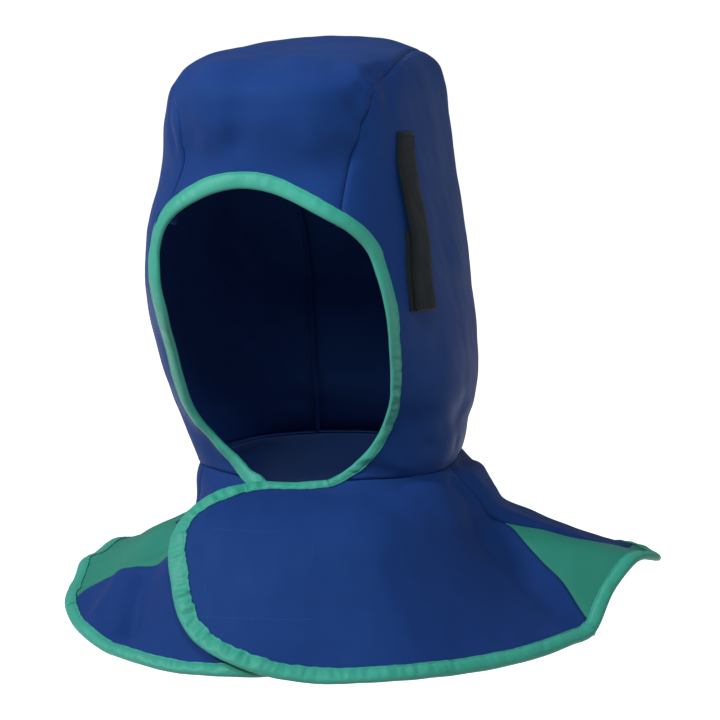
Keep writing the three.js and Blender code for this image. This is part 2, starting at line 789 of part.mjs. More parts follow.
// Section of the tape folded round an edge: distance from the edge into the cloth, height over it
const TAPE_OUT = TAPE_CLEARANCE + TAPE_WALL;
const TAPE_FOLD = 0.35 * (CLOTH / 2 + TAPE_OUT);
const TAPE_SECTION = [
  ['inside', 0, TAPE_OUT],
  ['middle', 0, TAPE_OUT],
  ['edge', 0, TAPE_OUT],
  ['edge', -TAPE_OUT, TAPE_OUT - TAPE_FOLD],
  ['edge', -TAPE_OUT, TAPE_FOLD - CLOTH - TAPE_OUT],
  ['edge', 0, -CLOTH - TAPE_OUT],
  ['middle', 0, -CLOTH - TAPE_OUT],
  ['inside', 0, -CLOTH - TAPE_OUT],
  ['inside', 0, -CLOTH - TAPE_CLEARANCE],
  ['middle', 0, -CLOTH - TAPE_CLEARANCE],
  ['edge', -TAPE_CLEARANCE, -CLOTH - TAPE_CLEARANCE],
  ['edge', -TAPE_CLEARANCE, TAPE_CLEARANCE],
  ['middle', 0, TAPE_CLEARANCE],
  ['inside', 0, TAPE_CLEARANCE],
];
const TAPE_ENDS = [
  [0, 1, 12, 13],
  [1, 2, 11, 12],
  [2, 3, 11],
  [3, 4, 10, 11],
  [4, 5, 10],
  [5, 6, 9, 10],
  [6, 7, 8, 9],
];

// A folded tape along an edge, given as stations whose cloth lies to the left of the way along
function tape(name, stations) {
  const rings = stations.map((station) =>
    TAPE_SECTION.map(([part, inset, height]) =>
      raise(station[part], height).addScaledVector(station.inward, inset),
    ),
  );
  const triangles = [];
  const count = TAPE_SECTION.length;
  for (let i = 0; i + 1 < rings.length; i += 1) {
    for (let k = 0; k < count; k += 1) {
      const next = (k + 1) % count;
      triangles.push(...quad(rings[i][k], rings[i][next], rings[i + 1][next], rings[i + 1][k]));
    }
  }
  TAPE_ENDS.forEach((corners) => {
    for (let k = 1; k + 1 < corners.length; k += 1) {
      const fan = [corners[0], corners[k], corners[k + 1]];
      triangles.push(fan.map((corner) => rings[rings.length - 1][corner]));
      triangles.push(fan.map((corner) => rings[0][corner]).reverse());
    }
  });
  return closedMesh(name, GREEN, triangles);
}

// A station of a tape on a curve: its edge, and the places half and a whole tape width inside
function station(curve, length, side) {
  const nudge = 1;
  const { angle, level } = curve(length);
  const edge = place(angle, level, side);
  const before = curve(length - nudge);
  const after = curve(length + nudge);
  const run = roundPoint(after.angle, after.level).sub(roundPoint(before.angle, before.level));
  const inward = edge.out.clone().cross(run).normalize();
  return {
    edge,
    inward,
    middle: walk(edge, inward, TAPE_WIDTH / 2),
    inside: walk(edge, inward, TAPE_WIDTH),
  };
}

// The hem by length of cloth at the hem's mean reach, so that its steps can follow the panels' angles
const HEM_RADIUS = 0.8 * CAPE_REACH;
function hem(length) {
  return { angle: length / (HEM_RADIUS * RADIANS), level: 2 };
}

function hemStations(from, to, shareList, side) {
  return shareList.map((share) => station(hem, lerp(from, to, share) * HEM_RADIUS * RADIANS, side));
}

function frontStations(lengths, side) {
  return lengths.map((length) => station(FRONT.at, length, side));
}

function between(from, to, shareList) {
  return shareList.map((share) => lerp(from, to, share));
}

const TUCK = 26;

function faceTape() {
  const right = between(SEAM_START.right, FACE_START, SIDE_ROWS).reverse();
  const left = between(SEAM_START.left, FACE_END - HALF_GAP, SIDE_ROWS);
  return tape('face_binding', [
    ...frontStations([FACE_START - TUCK, FACE_START - TUCK / 2, ...right], UNDER),
    ...frontStations([...CROWN_STARTS.slice(1, -1), ...left], OVER),
  ]);
}

const HEM_TURN = HALF_GAP / (HEM_RADIUS * RADIANS);
const HEM_ENDS = {
  leftFront: shoulder('left', -1, 0, 1).angle,
  leftBack: shoulder('left', 1, 0, 1).angle,
  rightBack: shoulder('right', -1, 0, 1).angle,
  rightFront: shoulder('right', 1, 0, 1).angle,
};

function leftFlapTape() {
  const corner = FRONT_EDGE.angle[FRONT_EDGE.angle.length - 1];
  const free = between(FACE_END + HALF_GAP, FRONT_LENGTH, LEFT_FLAP_ROWS);
  return tape('flap_binding_left', [
    ...frontStations(free, OVER),
    ...hemStations(corner, HEM_ENDS.leftFront - HEM_TURN, LEFT_FLAP_SHARES.slice(1), OVER),
  ]);
}

function rightFlapTape() {
  const corner = FRONT_EDGE.angle[0];
  const free = between(0, FACE_START - TUCK - 4 * SEAM_GAP, reversed(BACK_ROWS));
  return tape('flap_binding_right', [
    ...hemStations(HEM_ENDS.rightFront + HEM_TURN, corner, RIGHT_FLAP_SHARES.slice(0, -1), UNDER),
    ...frontStations(free, UNDER),
  ]);
}

function backTape() {
  const { leftFront, leftBack, rightBack, rightFront } = HEM_ENDS;
  return tape('hem_binding_back', [
    ...hemStations(leftFront + HEM_TURN, leftBack, GUSSET_SHARES.left, OVER),
    ...hemStations(leftBack, rightBack + 360, BACK_SHARES.slice(1, -1), OVER),
    ...hemStations(rightBack + 360, rightFront + 360 - HEM_TURN, GUSSET_SHARES.right, UNDER),
  ]);
}

// A band down the hood along the strap's line, between two shares of the strap, moved towards the face
function bandGrid(half, from, to, steps, ahead = 0) {
  const side = 0;
  return evenShares(steps).map((step) => {
    const share = lerp(from, to, step);
    const middle = along(STRAP_LINE.along, STRAP_LINE[half], share);
    const level = STRAP_TOP + (share * STRAP_LENGTH) / HOOD_HEIGHT;
    const apart = hoodPoint(middle + 1, level).distanceTo(hoodPoint(middle - 1, level));
    const turn = STRAP_WIDTH / apart;
    const shift = (Math.sign(middle) * 2 * ahead) / apart;
    return [-1, 0, 1].map((k) => place(middle + k * turn - shift, level, side));
  });
}

// The strap is sewn on at its top and lies over its patch at its foot
const PATCH_START = 1 - PATCH_LENGTH / STRAP_LENGTH;
function strap(half) {
  const grid = bandGrid(half, 0, 1, STRAP_STEPS);
  const under = (i) => {
    const climb = smoothstep(PATCH_START - 0.2, PATCH_START - 0.02, i / STRAP_STEPS);
    return STRAP_CLEARANCE + climb * (PATCH_THICKNESS + STRAP_CLEARANCE);
  };
  const inner = grid.map((row, i) => row.map((spot) => raise(spot, under(i))));
  const outer = grid.map((row, i) => row.map((spot) => raise(spot, under(i) + STRAP_THICKNESS)));
  return sheet(`strap_${half}`, BLACK, outer, inner);
}

function strapPatch(half) {
  const grid = bandGrid(half, PATCH_START, 1, PATCH_STEPS, PATCH_SHIFT);
  return panel(`strap_patch_${half}`, BLACK, grid, STRAP_CLEARANCE + PATCH_THICKNESS, STRAP_CLEARANCE);
}

// The patch that closes the flaps fills the gap between them
function closurePatch() {
  const { top, foot, level } = CLOSURE_MIDDLE;
  const grid = evenShares(PATCH_STEPS).map((down) => {
    const here = level + ((down - 0.5) * CLOSURE_HEIGHT) / SLOPE_LENGTH;
    const angle = lerp(top, foot, down);
    const apart = sharpPoint(angle + 5, here).distanceTo(sharpPoint(angle - 5, here)) / 10;
    const half = CLOSURE_WIDTH / 2 / apart;
    return evenShares(PATCH_STEPS).map((share) => place(lerp(angle - half, angle + half, share), here, 0));
  });
  const room = LAP - STRAP_CLEARANCE;
  return panel('closure_patch', BLACK, grid, room - CLOTH, -room);
}

const hood = new THREE.Group();
hood.add(
  crownPanel(),
  sidePanel('side_panel_left', OVER),
  sidePanel('side_panel_right', UNDER),
  leftFlap(),
  rightFlap(),
  capeBack(),
  gusset('left', OVER),
  gusset('right', UNDER),
  faceTape(),
  leftFlapTape(),
  rightFlapTape(),
  backTape(),
  strap('left'),
  strap('right'),
  strapPatch('left'),
  strapPatch('right'),
  closurePatch(),
);

export default hood;
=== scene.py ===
# Welder's hood with a shoulder cape: cloth panels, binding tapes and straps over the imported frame.
# Lengths are worked out in millimetres and become metres when a mesh is made. The shapes follow the
# same sizes and tables as the frame's solids, with finer steps and with folds, puckers and stitches.
import math

import bpy
import numpy as np
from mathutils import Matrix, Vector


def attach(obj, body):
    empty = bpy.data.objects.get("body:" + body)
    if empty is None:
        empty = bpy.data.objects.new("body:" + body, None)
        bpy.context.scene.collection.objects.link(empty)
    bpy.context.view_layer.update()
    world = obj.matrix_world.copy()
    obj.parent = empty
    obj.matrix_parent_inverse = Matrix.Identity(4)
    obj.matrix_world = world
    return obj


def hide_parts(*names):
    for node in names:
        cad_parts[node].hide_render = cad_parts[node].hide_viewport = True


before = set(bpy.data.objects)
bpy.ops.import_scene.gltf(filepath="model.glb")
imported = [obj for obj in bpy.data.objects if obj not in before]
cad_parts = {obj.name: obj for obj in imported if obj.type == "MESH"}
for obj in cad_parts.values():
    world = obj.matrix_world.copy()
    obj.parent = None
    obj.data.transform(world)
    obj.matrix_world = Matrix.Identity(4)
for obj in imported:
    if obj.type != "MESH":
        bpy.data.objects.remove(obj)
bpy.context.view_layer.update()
METRE = 0.001

# Cloth and how the pieces meet
CLOTH = 1.2
SEAM_HALF_GAP = 0.04
SEAM_ALLOWANCE = (0.6, 1.6, 3.4, 6)
TAPE_WIDTH = 8
FRAME_TAPE_OUT = 1.9
FLAP_CLEARANCE = 1
PINCH_DEPTH = 0.8
PINCH_WIDTH = 1.5

# Hood and cape, measured to the outside of the cloth
HOOD_HEIGHT = 240.5
HOOD_HALF_WIDTH = 87.5
HOOD_FRONT = 107
HOOD_BACK = 104
NECK_TILT = 8
CAPE_REACH = 193
CAPE_DROP = 102.5
FLAP_CURL = 4

# Straps that hold a helmet, and the patch that closes the flaps
STRAP_WIDTH = 17.5
STRAP_LENGTH = 93.5
STRAP_THICKNESS = 1.8
STRAP_CLEARANCE = 0.7
PATCH_LENGTH = 42
PATCH_SHIFT = 1.5
PATCH_THICKNESS = 1.4
CLOSURE_WIDTH = 50
CLOSURE_HEIGHT = 47

# Camera of the photograph: angles in degrees, lengths in millimetres
CAMERA_AZIMUTH = 18
CAMERA_ELEVATION = 5
CAMERA_DISTANCE = 1600
CAMERA_LENS = 141.6
AIM_RIGHT = 22.6
AIM_UP = -181.4

# Step of the fine grids
STEP = 1.8


def table(names, rows):
    return dict(zip(names.split(), np.array(rows, float).T))


# Sections across the hood: level is the share of the hood's height, widths are shares of their sizes
SECTIONS = table("level half front back square shift middle", [
    [0, 0, 0, 0, 2.4, 0, 0.19],
    [0.008, 0.32, 0.243, 0.279, 2.4, 0, 0.19],
    [0.025, 0.508, 0.43, 0.481, 2.5, -0.005, 0.17],
    [0.058, 0.68, 0.841, 0.75, 2.9, -0.006, 0.115],
    [0.108, 0.763, 0.972, 0.769, 3.1, -0.014, 0.05],
    [0.187, 0.808, 0.972, 0.837, 3.1, -0.02, 0.01],
    [0.312, 0.862, 0.925, 0.933, 3, -0.022, 0],
    [0.457, 0.943, 1, 1, 2.8, -0.046, 0],
    [0.582, 0.983, 0.991, 0.981, 2.7, -0.034, 0],
    [0.707, 1, 0.804, 0.904, 2.6, -0.006, 0],
    [0.811, 0.983, 0.626, 0.904, 2.5, 0.011, 0],
    [0.915, 0.914, 0.458, 0.933, 2.4, 0.017, 0],
    [1.023, 0.811, 0.355, 0.894, 2.3, 0.034, 0],
])
BACK_SQUARE = 2.2

# Hem of the cape by angle round the body: shares of the reach and drop, and whose slope it follows
HEM = table("angle reach drop right left", [
    [-147, 0.891, 0.77, 0, 0.8],
    [-132, 0.865, 0.69, 0, 1],
    [-120, 0.839, 0.62, 0, 1],
    [-107, 0.798, 0.58, 0, 1],
    [-96, 0.772, 0.634, 0, 1],
    [-84, 0.75, 0.7, 0, 0.95],
    [-70, 0.75, 0.762, 0, 0.8],
    [-52, 0.728, 0.862, 0, 0.35],
    [-32, 0.689, 0.931, 0, 0],
    [-7, 0.648, 0.966, 0, 0],
    [18, 0.637, 1, 0, 0],
    [38, 0.674, 0.985, 0, 0],
    [58, 0.705, 0.961, 0.2, 0],
    [73, 0.762, 0.922, 0.5, 0],
    [81, 0.803, 0.883, 0.8, 0],
    [88, 0.839, 0.834, 1, 0],
    [94, 0.87, 0.649, 1, 0],
    [99, 0.922, 0.517, 1, 0],
    [108, 1, 0.527, 1, 0],
    [118, 0.927, 0.507, 1, 0],
    [130, 0.902, 0.62, 1, 0],
    [145, 0.886, 0.737, 0.8, 0],
    [160, 0.87, 0.795, 0.5, 0.2],
    [180, 0.86, 0.815, 0.3, 0.4],
])

# Slopes of the cape from the neck seam to the hem: how far out and how far down each has come
SLOPES = table("along chestOut chestDown rightOut rightDown leftOut leftDown", [
    [0, 0, 0, 0, 0, 0, 0],
    [0.15, 0.22, 0.08, 0.09, 0.14, 0.01, 0.27],
    [0.3, 0.38, 0.18, 0.18, 0.3, 0.06, 0.455],
    [0.45, 0.5, 0.31, 0.25, 0.48, 0.22, 0.585],
    [0.6, 0.62, 0.5, 0.41, 0.61, 0.44, 0.72],
    [0.8, 0.8, 0.77, 0.72, 0.84, 0.75, 0.905],
    [1, 1, 1, 1, 1, 1, 1],
])

# Crown seams by angle over the head, from the front: shares of the half width
CROWN_SEAMS = table("over right left", [
    [0, -0.64, 0.52],
    [22, -0.606, 0.514],
    [32, -0.537, 0.543],
    [40, -0.554, 0.6],
    [50, -0.651, 0.64],
    [65, -0.697, 0.669],
    [80, -0.686, 0.64],
    [100, -0.651, 0.571],
    [120, -0.617, 0.56],
    [150, -0.571, 0.537],
    [180, -0.48, 0.48],
    [210, -0.4, 0.42],
    [240, -0.36, 0.38],
])

# The whole front edge by angle and level: right flap from its hem up to the throat, round the face,
# and down the free edge of the left flap. Level 1 is the neck seam and 2 the hem.
RIGHT_FLAP_EDGE = [
    [-18, 2],
    [-3, 1.985],
    [8, 1.95],
    [16, 1.87],
    [21, 1.74],
    [23, 1.58],
    [22, 1.42],
    [18, 1.3],
    [9, 1.2],
    [-2, 1.13],
    [-14, 1.07],
]
FACE_EDGE = [
    [-28, 1],
    [-39, 0.985],
    [-48.5, 0.96],
    [-54.5, 0.92],
    [-55, 0.865],
    [-49.5, 0.786],
    [-41, 0.69],
    [-33.5, 0.598],
    [-32, 0.525],
    [-32, 0.472],
    [-30, 0.427],
    [-25.5, 0.391],
    [-19.5, 0.362],
    [-13, 0.342],
    [-3.5, 0.331],
    [6.5, 0.342],
    [13.5, 0.362],
    [21, 0.391],
    [29.5, 0.428],
    [35.3, 0.473],
    [37.8, 0.525],
    [40.4, 0.599],
    [43, 0.688],
    [46, 0.77],
    [48.2, 0.838],
    [47.6, 0.892],
    [42, 0.937],
    [33, 0.973],
    [22, 1],
]
LEFT_FLAP_EDGE = [
    [11, 1.013],
    [-1.5, 1.03],
    [-13, 1.037],
    [-23, 1.045],
    [-30.5, 1.08],
    [-35.5, 1.155],
    [-38.5, 1.22],
    [-41, 1.3],
    [-41.5, 1.43],
    [-37.5, 1.545],
    [-32, 1.65],
    [-26.5, 1.745],
    [-19, 1.845],
    [-9, 1.927],
    [4, 1.98],
    [20, 2],
]
FRONT_EDGE = table("angle level", RIGHT_FLAP_EDGE + FACE_EDGE + LEFT_FLAP_EDGE)

# Shoulder seams by share of the way down the cape: the angle in the middle and the gusset's spread
SHOULDERS = table("along left leftSpread right rightSpread", [
    [0, 93, 0, -74, 0],
    [0.3, 94.5, 0, -76, 0],
    [0.37, 95, 0, -76, 0],
    [0.47, 96, 0, -78, 52],
    [0.54, 96.5, 0.5, -84.5, 55],
    [0.62, 96.5, 3.2, -88.5, 51],
    [0.7, 96.5, 6.5, -92, 46],
    [0.8, 97.4, 11, -94.5, 41],
    [0.9, 99.8, 20, -92.7, 42.5],
    [1, 103, 30, -89.7, 46.5],
])
GUSSET_TOPS = {"left": 0.52, "right": 0.376}

# Line down the middle of each helmet strap, by share of the strap
STRAP_LINE = table("along left right", [
    [0, 51.1, -60],
    [0.2, 50.6, -63],
    [0.42, 52.8, -67.5],
    [0.6, 54.2, -71],
    [0.78, 53.2, -73.5],
    [1, 54.4, -75.5],
])
STRAP_TOP = 0.218
CLOSURE_MIDDLE = {"top": -6.5, "foot": -0.5, "level": 1.58}

# Main folds, as in the frame, each along a line between two places: negative rises are valleys
MAIN_FOLDS = [
    [-24, 0.09, -21, 0.26, 9, -1.6],
    [-13, 0.08, -12, 0.2, 9, 1.4],
    [-2, 0.07, -6, 0.24, 9, -1.2],
    [20, 0.08, 27, 0.26, 9, -1.5],
    [33, 0.09, 32, 0.2, 8, 1.3],
    [30, 0.15, 34, 0.22, 6, -1.6],
    [43, 0.09, 42, 0.15, 6, -1.4],
    [62, 0.86, 88, 0.88, 10, -2],
    [50, 0.94, 85, 0.945, 9, 1.5],
    [-72, 0.9, -62, 0.93, 9, -2],
    [-62, 1.05, -85, 1.08, 9, 2],
    [-80, 1.47, -90, 1.92, 14, 5],
    [24, 1.12, 46, 1.17, 9, -1.4],
    [-62, 1.5, -42, 1.86, 14, -3.5],
    [-52, 1.95, -66, 1.62, 12, 2.5],
]

# Small folds that the frame leaves out
SMALL_FOLDS = [
    [41, 0.075, 33, 0.1, 3, -1.4],
    [39, 0.115, 32, 0.085, 2.5, -1.2],
    [37, 0.155, 31, 0.12, 2.6, -1.4],
    [35, 0.215, 29, 0.16, 3, -1.5],
    [36, 0.25, 24, 0.22, 5, 1],
    [10, 0.06, 17, 0.24, 7, 1.6],
    [22, 0.07, 30, 0.27, 5, -1.2],
    [-20, 0.07, -17, 0.24, 5, 1],
    [-9, 0.08, -7, 0.24, 5, -0.9],
    [-30, 0.1, -27, 0.24, 4, 1.2],
    [-33, 0.12, -31, 0.25, 3, -1.2],
    [-42, 0.13, -47, 0.17, 3, -1.6],
    [70, 0.93, 92, 0.945, 4, -1],
    [62, 0.97, 98, 0.985, 4, 1],
    [100, 0.9, 140, 0.93, 7, -1.2],
    [150, 0.88, 200, 0.9, 8, 1],
    [205, 0.92, 250, 0.9, 7, -1.2],
    [60, 1.06, 86, 1.1, 4, -1.2],
    [86, 1.1, 95, 1.45, 3, -1.3],
    [104, 1.05, 128, 1.1, 4, -1.6],
    [102, 1.16, 124, 1.2, 6, 1.6],
    [-57, 1.64, -42, 1.86, 6, -3.4],
    [-71, 1.66, -54, 1.9, 5, 1.8],
    [-64, 1.46, -76, 1.92, 5, -1.4],
    [-86, 1.5, -88, 1.9, 4, -1.5],
    [-100, 1.45, -103, 1.8, 5, 1.3],
    [-72, 1.4, -60, 1.5, 5, 1],
    [100, 1.65, 112, 1.95, 6, 0.8],
    [130, 1.2, 138, 1.9, 16, 2],
    [165, 1.15, 168, 1.95, 18, -2],
    [200, 1.2, 196, 1.95, 17, 2],
    [232, 1.2, 226, 1.9, 15, -1.6],
]
FOLDS = table("angle1 level1 angle2 level2 width rise", MAIN_FOLDS + SMALL_FOLDS)


def lerp(a, b, t):
    return a + (b - a) * t


def smoothstep(start, end, x):
    t = np.clip((x - start) / (end - start), 0, 1)
    return t * t * (3 - 2 * t)


# Smooth curve through the points of two columns
def along(xs, ys, x):
    steps = np.diff(xs)
    slopes = np.diff(ys) / steps
    tangents = np.concatenate([slopes[:1], slopes, slopes[-1:]])[: len(xs)].copy()
    tangents[1:-1] = (slopes[:-1] * steps[1:] + slopes[1:] * steps[:-1]) / (steps[:-1] + steps[1:])
    tangents[-1] = slopes[-1]
    q = np.clip(x, xs[0], xs[-1])
    i = np.clip(np.searchsorted(xs, q, side="left") - 1, 0, len(xs) - 2)
    step = steps[i]
    t = (q - xs[i]) / step
    start = (1 + 2 * t) * (1 - t) ** 2 * ys[i] + t * (1 - t) ** 2 * step * tangents[i]
    end = t * t * (3 - 2 * t) * ys[i + 1] + t * t * (t - 1) * step * tangents[i + 1]
    return start + end


# The half width, reaches, squareness and centre of the hood at a share of its height
SECTION_ROOTS = np.sqrt(SECTIONS["level"])


def section(level):
    root = np.sqrt(np.maximum(level, 0))
    return {
        "half": HOOD_HALF_WIDTH * along(SECTION_ROOTS, SECTIONS["half"], root),
        "front": HOOD_FRONT * along(SECTION_ROOTS, SECTIONS["front"], root),
        "back": HOOD_BACK * along(SECTION_ROOTS, SECTIONS["back"], root),
        "square": along(SECTION_ROOTS, SECTIONS["square"], root),
        "x": HOOD_HALF_WIDTH * along(SECTION_ROOTS, SECTIONS["shift"], root),
        "y": HOOD_FRONT * along(SECTION_ROOTS, SECTIONS["middle"], root),
    }


def neck_drop(angle):
    return HOOD_HEIGHT + NECK_TILT * np.cos(np.radians(angle))


# A point of the hood's outside, with the angle counted from the face towards +X
def hood_point(angle, level):
    angle, level = np.broadcast_arrays(angle, level)
    drop = level * neck_drop(angle)
    cut = section(drop / HOOD_HEIGHT)
    sine = np.sin(np.radians(angle))
    cosine = np.cos(np.radians(angle))
    reach = np.where(cosine > 0, cut["front"], cut["back"])
    power = np.where(cosine > 0, cut["square"], BACK_SQUARE)
    half = np.maximum(cut["half"], 1e-9)
    total = (np.abs(sine) / half) ** power + (np.abs(cosine) / np.maximum(reach, 1e-9)) ** power
    radius = total ** (-1 / power)
    return np.stack([cut["x"] + radius * sine, cut["y"] - radius * cosine, CLOTH - drop], -1)


HEM_ANGLES = np.concatenate([HEM["angle"] + turn for turn in (-360, 0, 360)])


def around_hem(name, angle):
    return along(HEM_ANGLES, np.tile(HEM[name], 3), angle)


# A point of the cape's outside at a share of the way from the neck seam to the hem
def cape_point(angle, share):
    angle, share = np.broadcast_arrays(angle, share)
    neck = hood_point(angle, 1)
    right = np.clip(around_hem("right", angle), 0, 1)
    left = np.clip(around_hem("left", angle), 0, 1 - right)

    def mix(way):
        chest = (1 - right - left) * along(SLOPES["along"], SLOPES["chest" + way], share)
        east = right * along(SLOPES["along"], SLOPES["right" + way], share)
        return chest + east + left * along(SLOPES["along"], SLOPES["left" + way], share)

    reach = CAPE_REACH * around_hem("reach", angle)
    drop = HOOD_HEIGHT + CAPE_DROP * around_hem("drop", angle)
    out = mix("Out")
    return np.stack([
        lerp(neck[..., 0], reach * np.sin(np.radians(angle)), out),
        lerp(neck[..., 1], -reach * np.cos(np.radians(angle)), out),
        lerp(neck[..., 2], CLOTH - drop, mix("Down")),
    ], -1)


# Hood and cape as one surface
def sharp_point(angle, level):
    angle, level = np.broadcast_arrays(angle, level)
    shape = angle.shape
    angle = angle.ravel()
    level = level.ravel()
    points = np.empty((angle.size, 3))
    hood = level <= 1
    points[hood] = hood_point(angle[hood], level[hood])
    points[~hood] = cape_point(angle[~hood], level[~hood] - 1)
    return points.reshape(shape + (3,))


# The length of cloth down to a level, and the level reached by going a length further down
def run_down(level):
    return np.where(level <= 1, level * HOOD_HEIGHT, HOOD_HEIGHT + (level - 1) * CAPE_DROP)


def step_down(level, length):
    moved = run_down(level) + length
    return np.where(moved <= HOOD_HEIGHT, moved / HOOD_HEIGHT, 1 + (moved - HOOD_HEIGHT) / CAPE_DROP)


# The crease at the neck seam is rounded, most under the chin, by averaging over a run of cloth
CREASE_ROUND = 2.5
THROAT_ROUND = 11
CREASE_PARTS = (-1, -0.5, 0, 0.5, 1)


def round_point(angle, level):
    angle, level = np.broadcast_arrays(angle, level)
    throat = smoothstep(70, 40, np.abs(angle))
    near = smoothstep(0.8, 0.92, level) * smoothstep(1.4, 1.2, level)
    run = lerp(CREASE_ROUND, THROAT_ROUND, throat) * near
    points = sharp_point(angle, level)
    soft = run > 0
    if soft.any():
        taps = [sharp_point(angle[soft], step_down(level[soft], part * run[soft])) for part in CREASE_PARTS]
        points[soft] = sum(taps) / len(taps)
    return points


FOLD_STARTS = sharp_point(FOLDS["angle1"], FOLDS["level1"])
FOLD_ENDS = sharp_point(FOLDS["angle2"], FOLDS["level2"])


# How far the folds lift the cloth at a point
def fold_height(points):
    height = np.zeros(points.shape[:-1])
    for start, end, width, rise in zip(FOLD_STARTS, FOLD_ENDS, FOLDS["width"], FOLDS["rise"]):
        line = end - start
        share = np.clip((points - start) @ line / (line @ line), 0, 1)
        apart = np.linalg.norm(points - start - share[..., None] * line, axis=-1)
        height += rise * np.exp(-((apart / width) ** 2))
    return height


# Soft unevenness between about -1 and 1, the same in every run
def ripple(points, size, seed):
    chance = np.random.default_rng(seed)
    total = 0
    for _ in range(7):
        way = chance.normal(size=3)
        way *= 2 * math.pi * chance.uniform(0.6, 1.5) / (size * np.linalg.norm(way))
        total = total + np.sin(points @ way + chance.uniform(0, 2 * math.pi))
    return total / 2.6


# The left flap lies over the right one: each stands off the common surface by half of what both need,
# and the free edge of the left one curls outwards
LAP = (CLOTH + 2 * FRAME_TAPE_OUT + FLAP_CLEARANCE) / 2
OVER = 1
UNDER = -1


def lap_height(angle, level, side):
    down = LAP * smoothstep(0.88, 0.98, level)
    turned = np.where(angle > 180, angle - 360, angle)
    curl = smoothstep(-24, -46, angle) * smoothstep(1.06, 1.2, level) * smoothstep(1.8, 1.5, level)
    over = down * smoothstep(75, 27, angle) + FLAP_CURL * curl
    under = -down * smoothstep(-80, -52, turned)
    return np.where(side == OVER, over, np.where(side == UNDER, under, 0))


def unit(vectors):
    return vectors / np.maximum(np.linalg.norm(vectors, axis=-1, keepdims=True), 1e-12)


# The way out of a surface at an angle and level, from points to all sides of it
def outward(surface, angle, level, turn, slide):
    lower = surface(angle, np.minimum(step_down(level, slide), 2))
    upper = surface(angle, np.maximum(step_down(level, -slide), 0))
    across = surface(angle + turn, level) - surface(angle - turn, level)
    return unit(np.cross(lower - upper, across))


def unevenness(points):
    return 0.45 * ripple(points, 46, 3) + 0.16 * ripple(points, 17, 5)


# A point of the cloth, lifted by folds and lap
def cloth(angle, level, side):
    base = round_point(angle, level)
    height = fold_height(base) + lap_height(angle, level, side) + unevenness(base)
    return base + height[..., None] * wide_normals(angle, level)


def wide_normals(angle, level):
    return outward(round_point, angle, level, 2, 6)


def place(angle, level, side):
    out = outward(lambda a, l: cloth(a, l, side), angle, level, 0.4, 0.6)
    return cloth(angle, level, side), out


# The angle and level reached by walking a length over the cloth in a direction
def walk(angle, level, direction, length):
    turn = 0.5
    slide = 0.8
    lower = np.minimum(step_down(level, slide), 2)
    upper = step_down(level, -slide)
    wide = (round_point(angle + turn, level) - round_point(angle - turn, level)) / (2 * turn)
    fall = (run_down(lower) - run_down(upper))[..., None]
    tall = (round_point(angle, lower) - round_point(angle, upper)) / fall
    ww = (wide * wide).sum(-1)
    wt = (wide * tall).sum(-1)
    tt = (tall * tall).sum(-1)
    dw = (direction * wide).sum(-1) * length
    dt = (direction * tall).sum(-1) * length
    area = ww * tt - wt * wt
    new_level = step_down(level, (dt * ww - dw * wt) / area)
    return angle + (dw * tt - dt * wt) / area, np.minimum(new_level, 2)


# The front edge as a curve over the cloth, measured by its length
FRONT_STEPS = np.linalg.norm(np.diff(sharp_point(FRONT_EDGE["angle"], FRONT_EDGE["level"]), axis=0), axis=1)
FRONT_LENGTHS = np.concatenate([[0], np.cumsum(FRONT_STEPS)])
FACE_START = FRONT_LENGTHS[len(RIGHT_FLAP_EDGE)]
FACE_END = FRONT_LENGTHS[len(RIGHT_FLAP_EDGE) + len(FACE_EDGE) - 1]
FRONT_LENGTH = FRONT_LENGTHS[-1]


def front(length):
    angle = along(FRONT_LENGTHS, FRONT_EDGE["angle"], length)
    return angle, along(FRONT_LENGTHS, FRONT_EDGE["level"], length)


# The point on the hood in the plane at x, found at an angle over the head from its middle
MIDDLE_Y = -0.05 * HOOD_FRONT
MIDDLE_Z = -0.5 * HOOD_HEIGHT


def over_head(x, over):
    x, over = np.broadcast_arrays(np.asarray(x, float), over)
    cosine = np.cos(np.radians(over))
    sine = np.sin(np.radians(over))
    near = np.zeros(x.shape)
    far = np.full(x.shape, 1.1 * HOOD_HEIGHT)
    for _ in range(34):
        reach = (near + far) / 2
        y = MIDDLE_Y - reach * cosine
        z = MIDDLE_Z + reach * sine
        cut = section((CLOTH - z) / HOOD_HEIGHT)
        ahead = y < cut["y"]
        power = np.where(ahead, cut["square"], BACK_SQUARE)
        deep = np.abs(y - cut["y"]) / np.maximum(np.where(ahead, cut["front"], cut["back"]), 1e-9)
        wide = np.abs(x - cut["x"]) / np.maximum(cut["half"], 1e-9)
        inside = (z < CLOTH) & (wide**power + deep**power < 1)
        near = np.where(inside, reach, near)
        far = np.where(inside, far, reach)
    return np.stack([x, MIDDLE_Y - near * cosine, MIDDLE_Z + near * sine], -1)


def over_angle(point):
    return np.degrees(np.arctan2(point[..., 2] - MIDDLE_Z, MIDDLE_Y - point[..., 1]))


def seam_x(side, over):
    return HOOD_HALF_WIDTH * along(CROWN_SEAMS["over"], CROWN_SEAMS[side], over)


# The angle and level of a point on the plain hood
def hood_place(point):
    cut = section((CLOTH - point[..., 2]) / HOOD_HEIGHT)
    angle = np.degrees(np.arctan2(point[..., 0] - cut["x"], cut["y"] - point[..., 1]))
    return angle, (CLOTH - point[..., 2]) / neck_drop(angle)


# Where along the front edge a crown seam runs into it
def seam_at_face(side):
    low = (FACE_START + FACE_END) / 2
    high = FACE_START if side == "right" else FACE_END
    for _ in range(40):
        length = (low + high) / 2
        point = hood_point(*front(length))
        if abs(point[0]) < abs(seam_x(side, over_angle(point))):
            low = length
        else:
            high = length
    return low


SEAM_START = {"right": seam_at_face("right"), "left": seam_at_face("left")}
NECK_LINE = float(step_down(1, -SEAM_HALF_GAP))


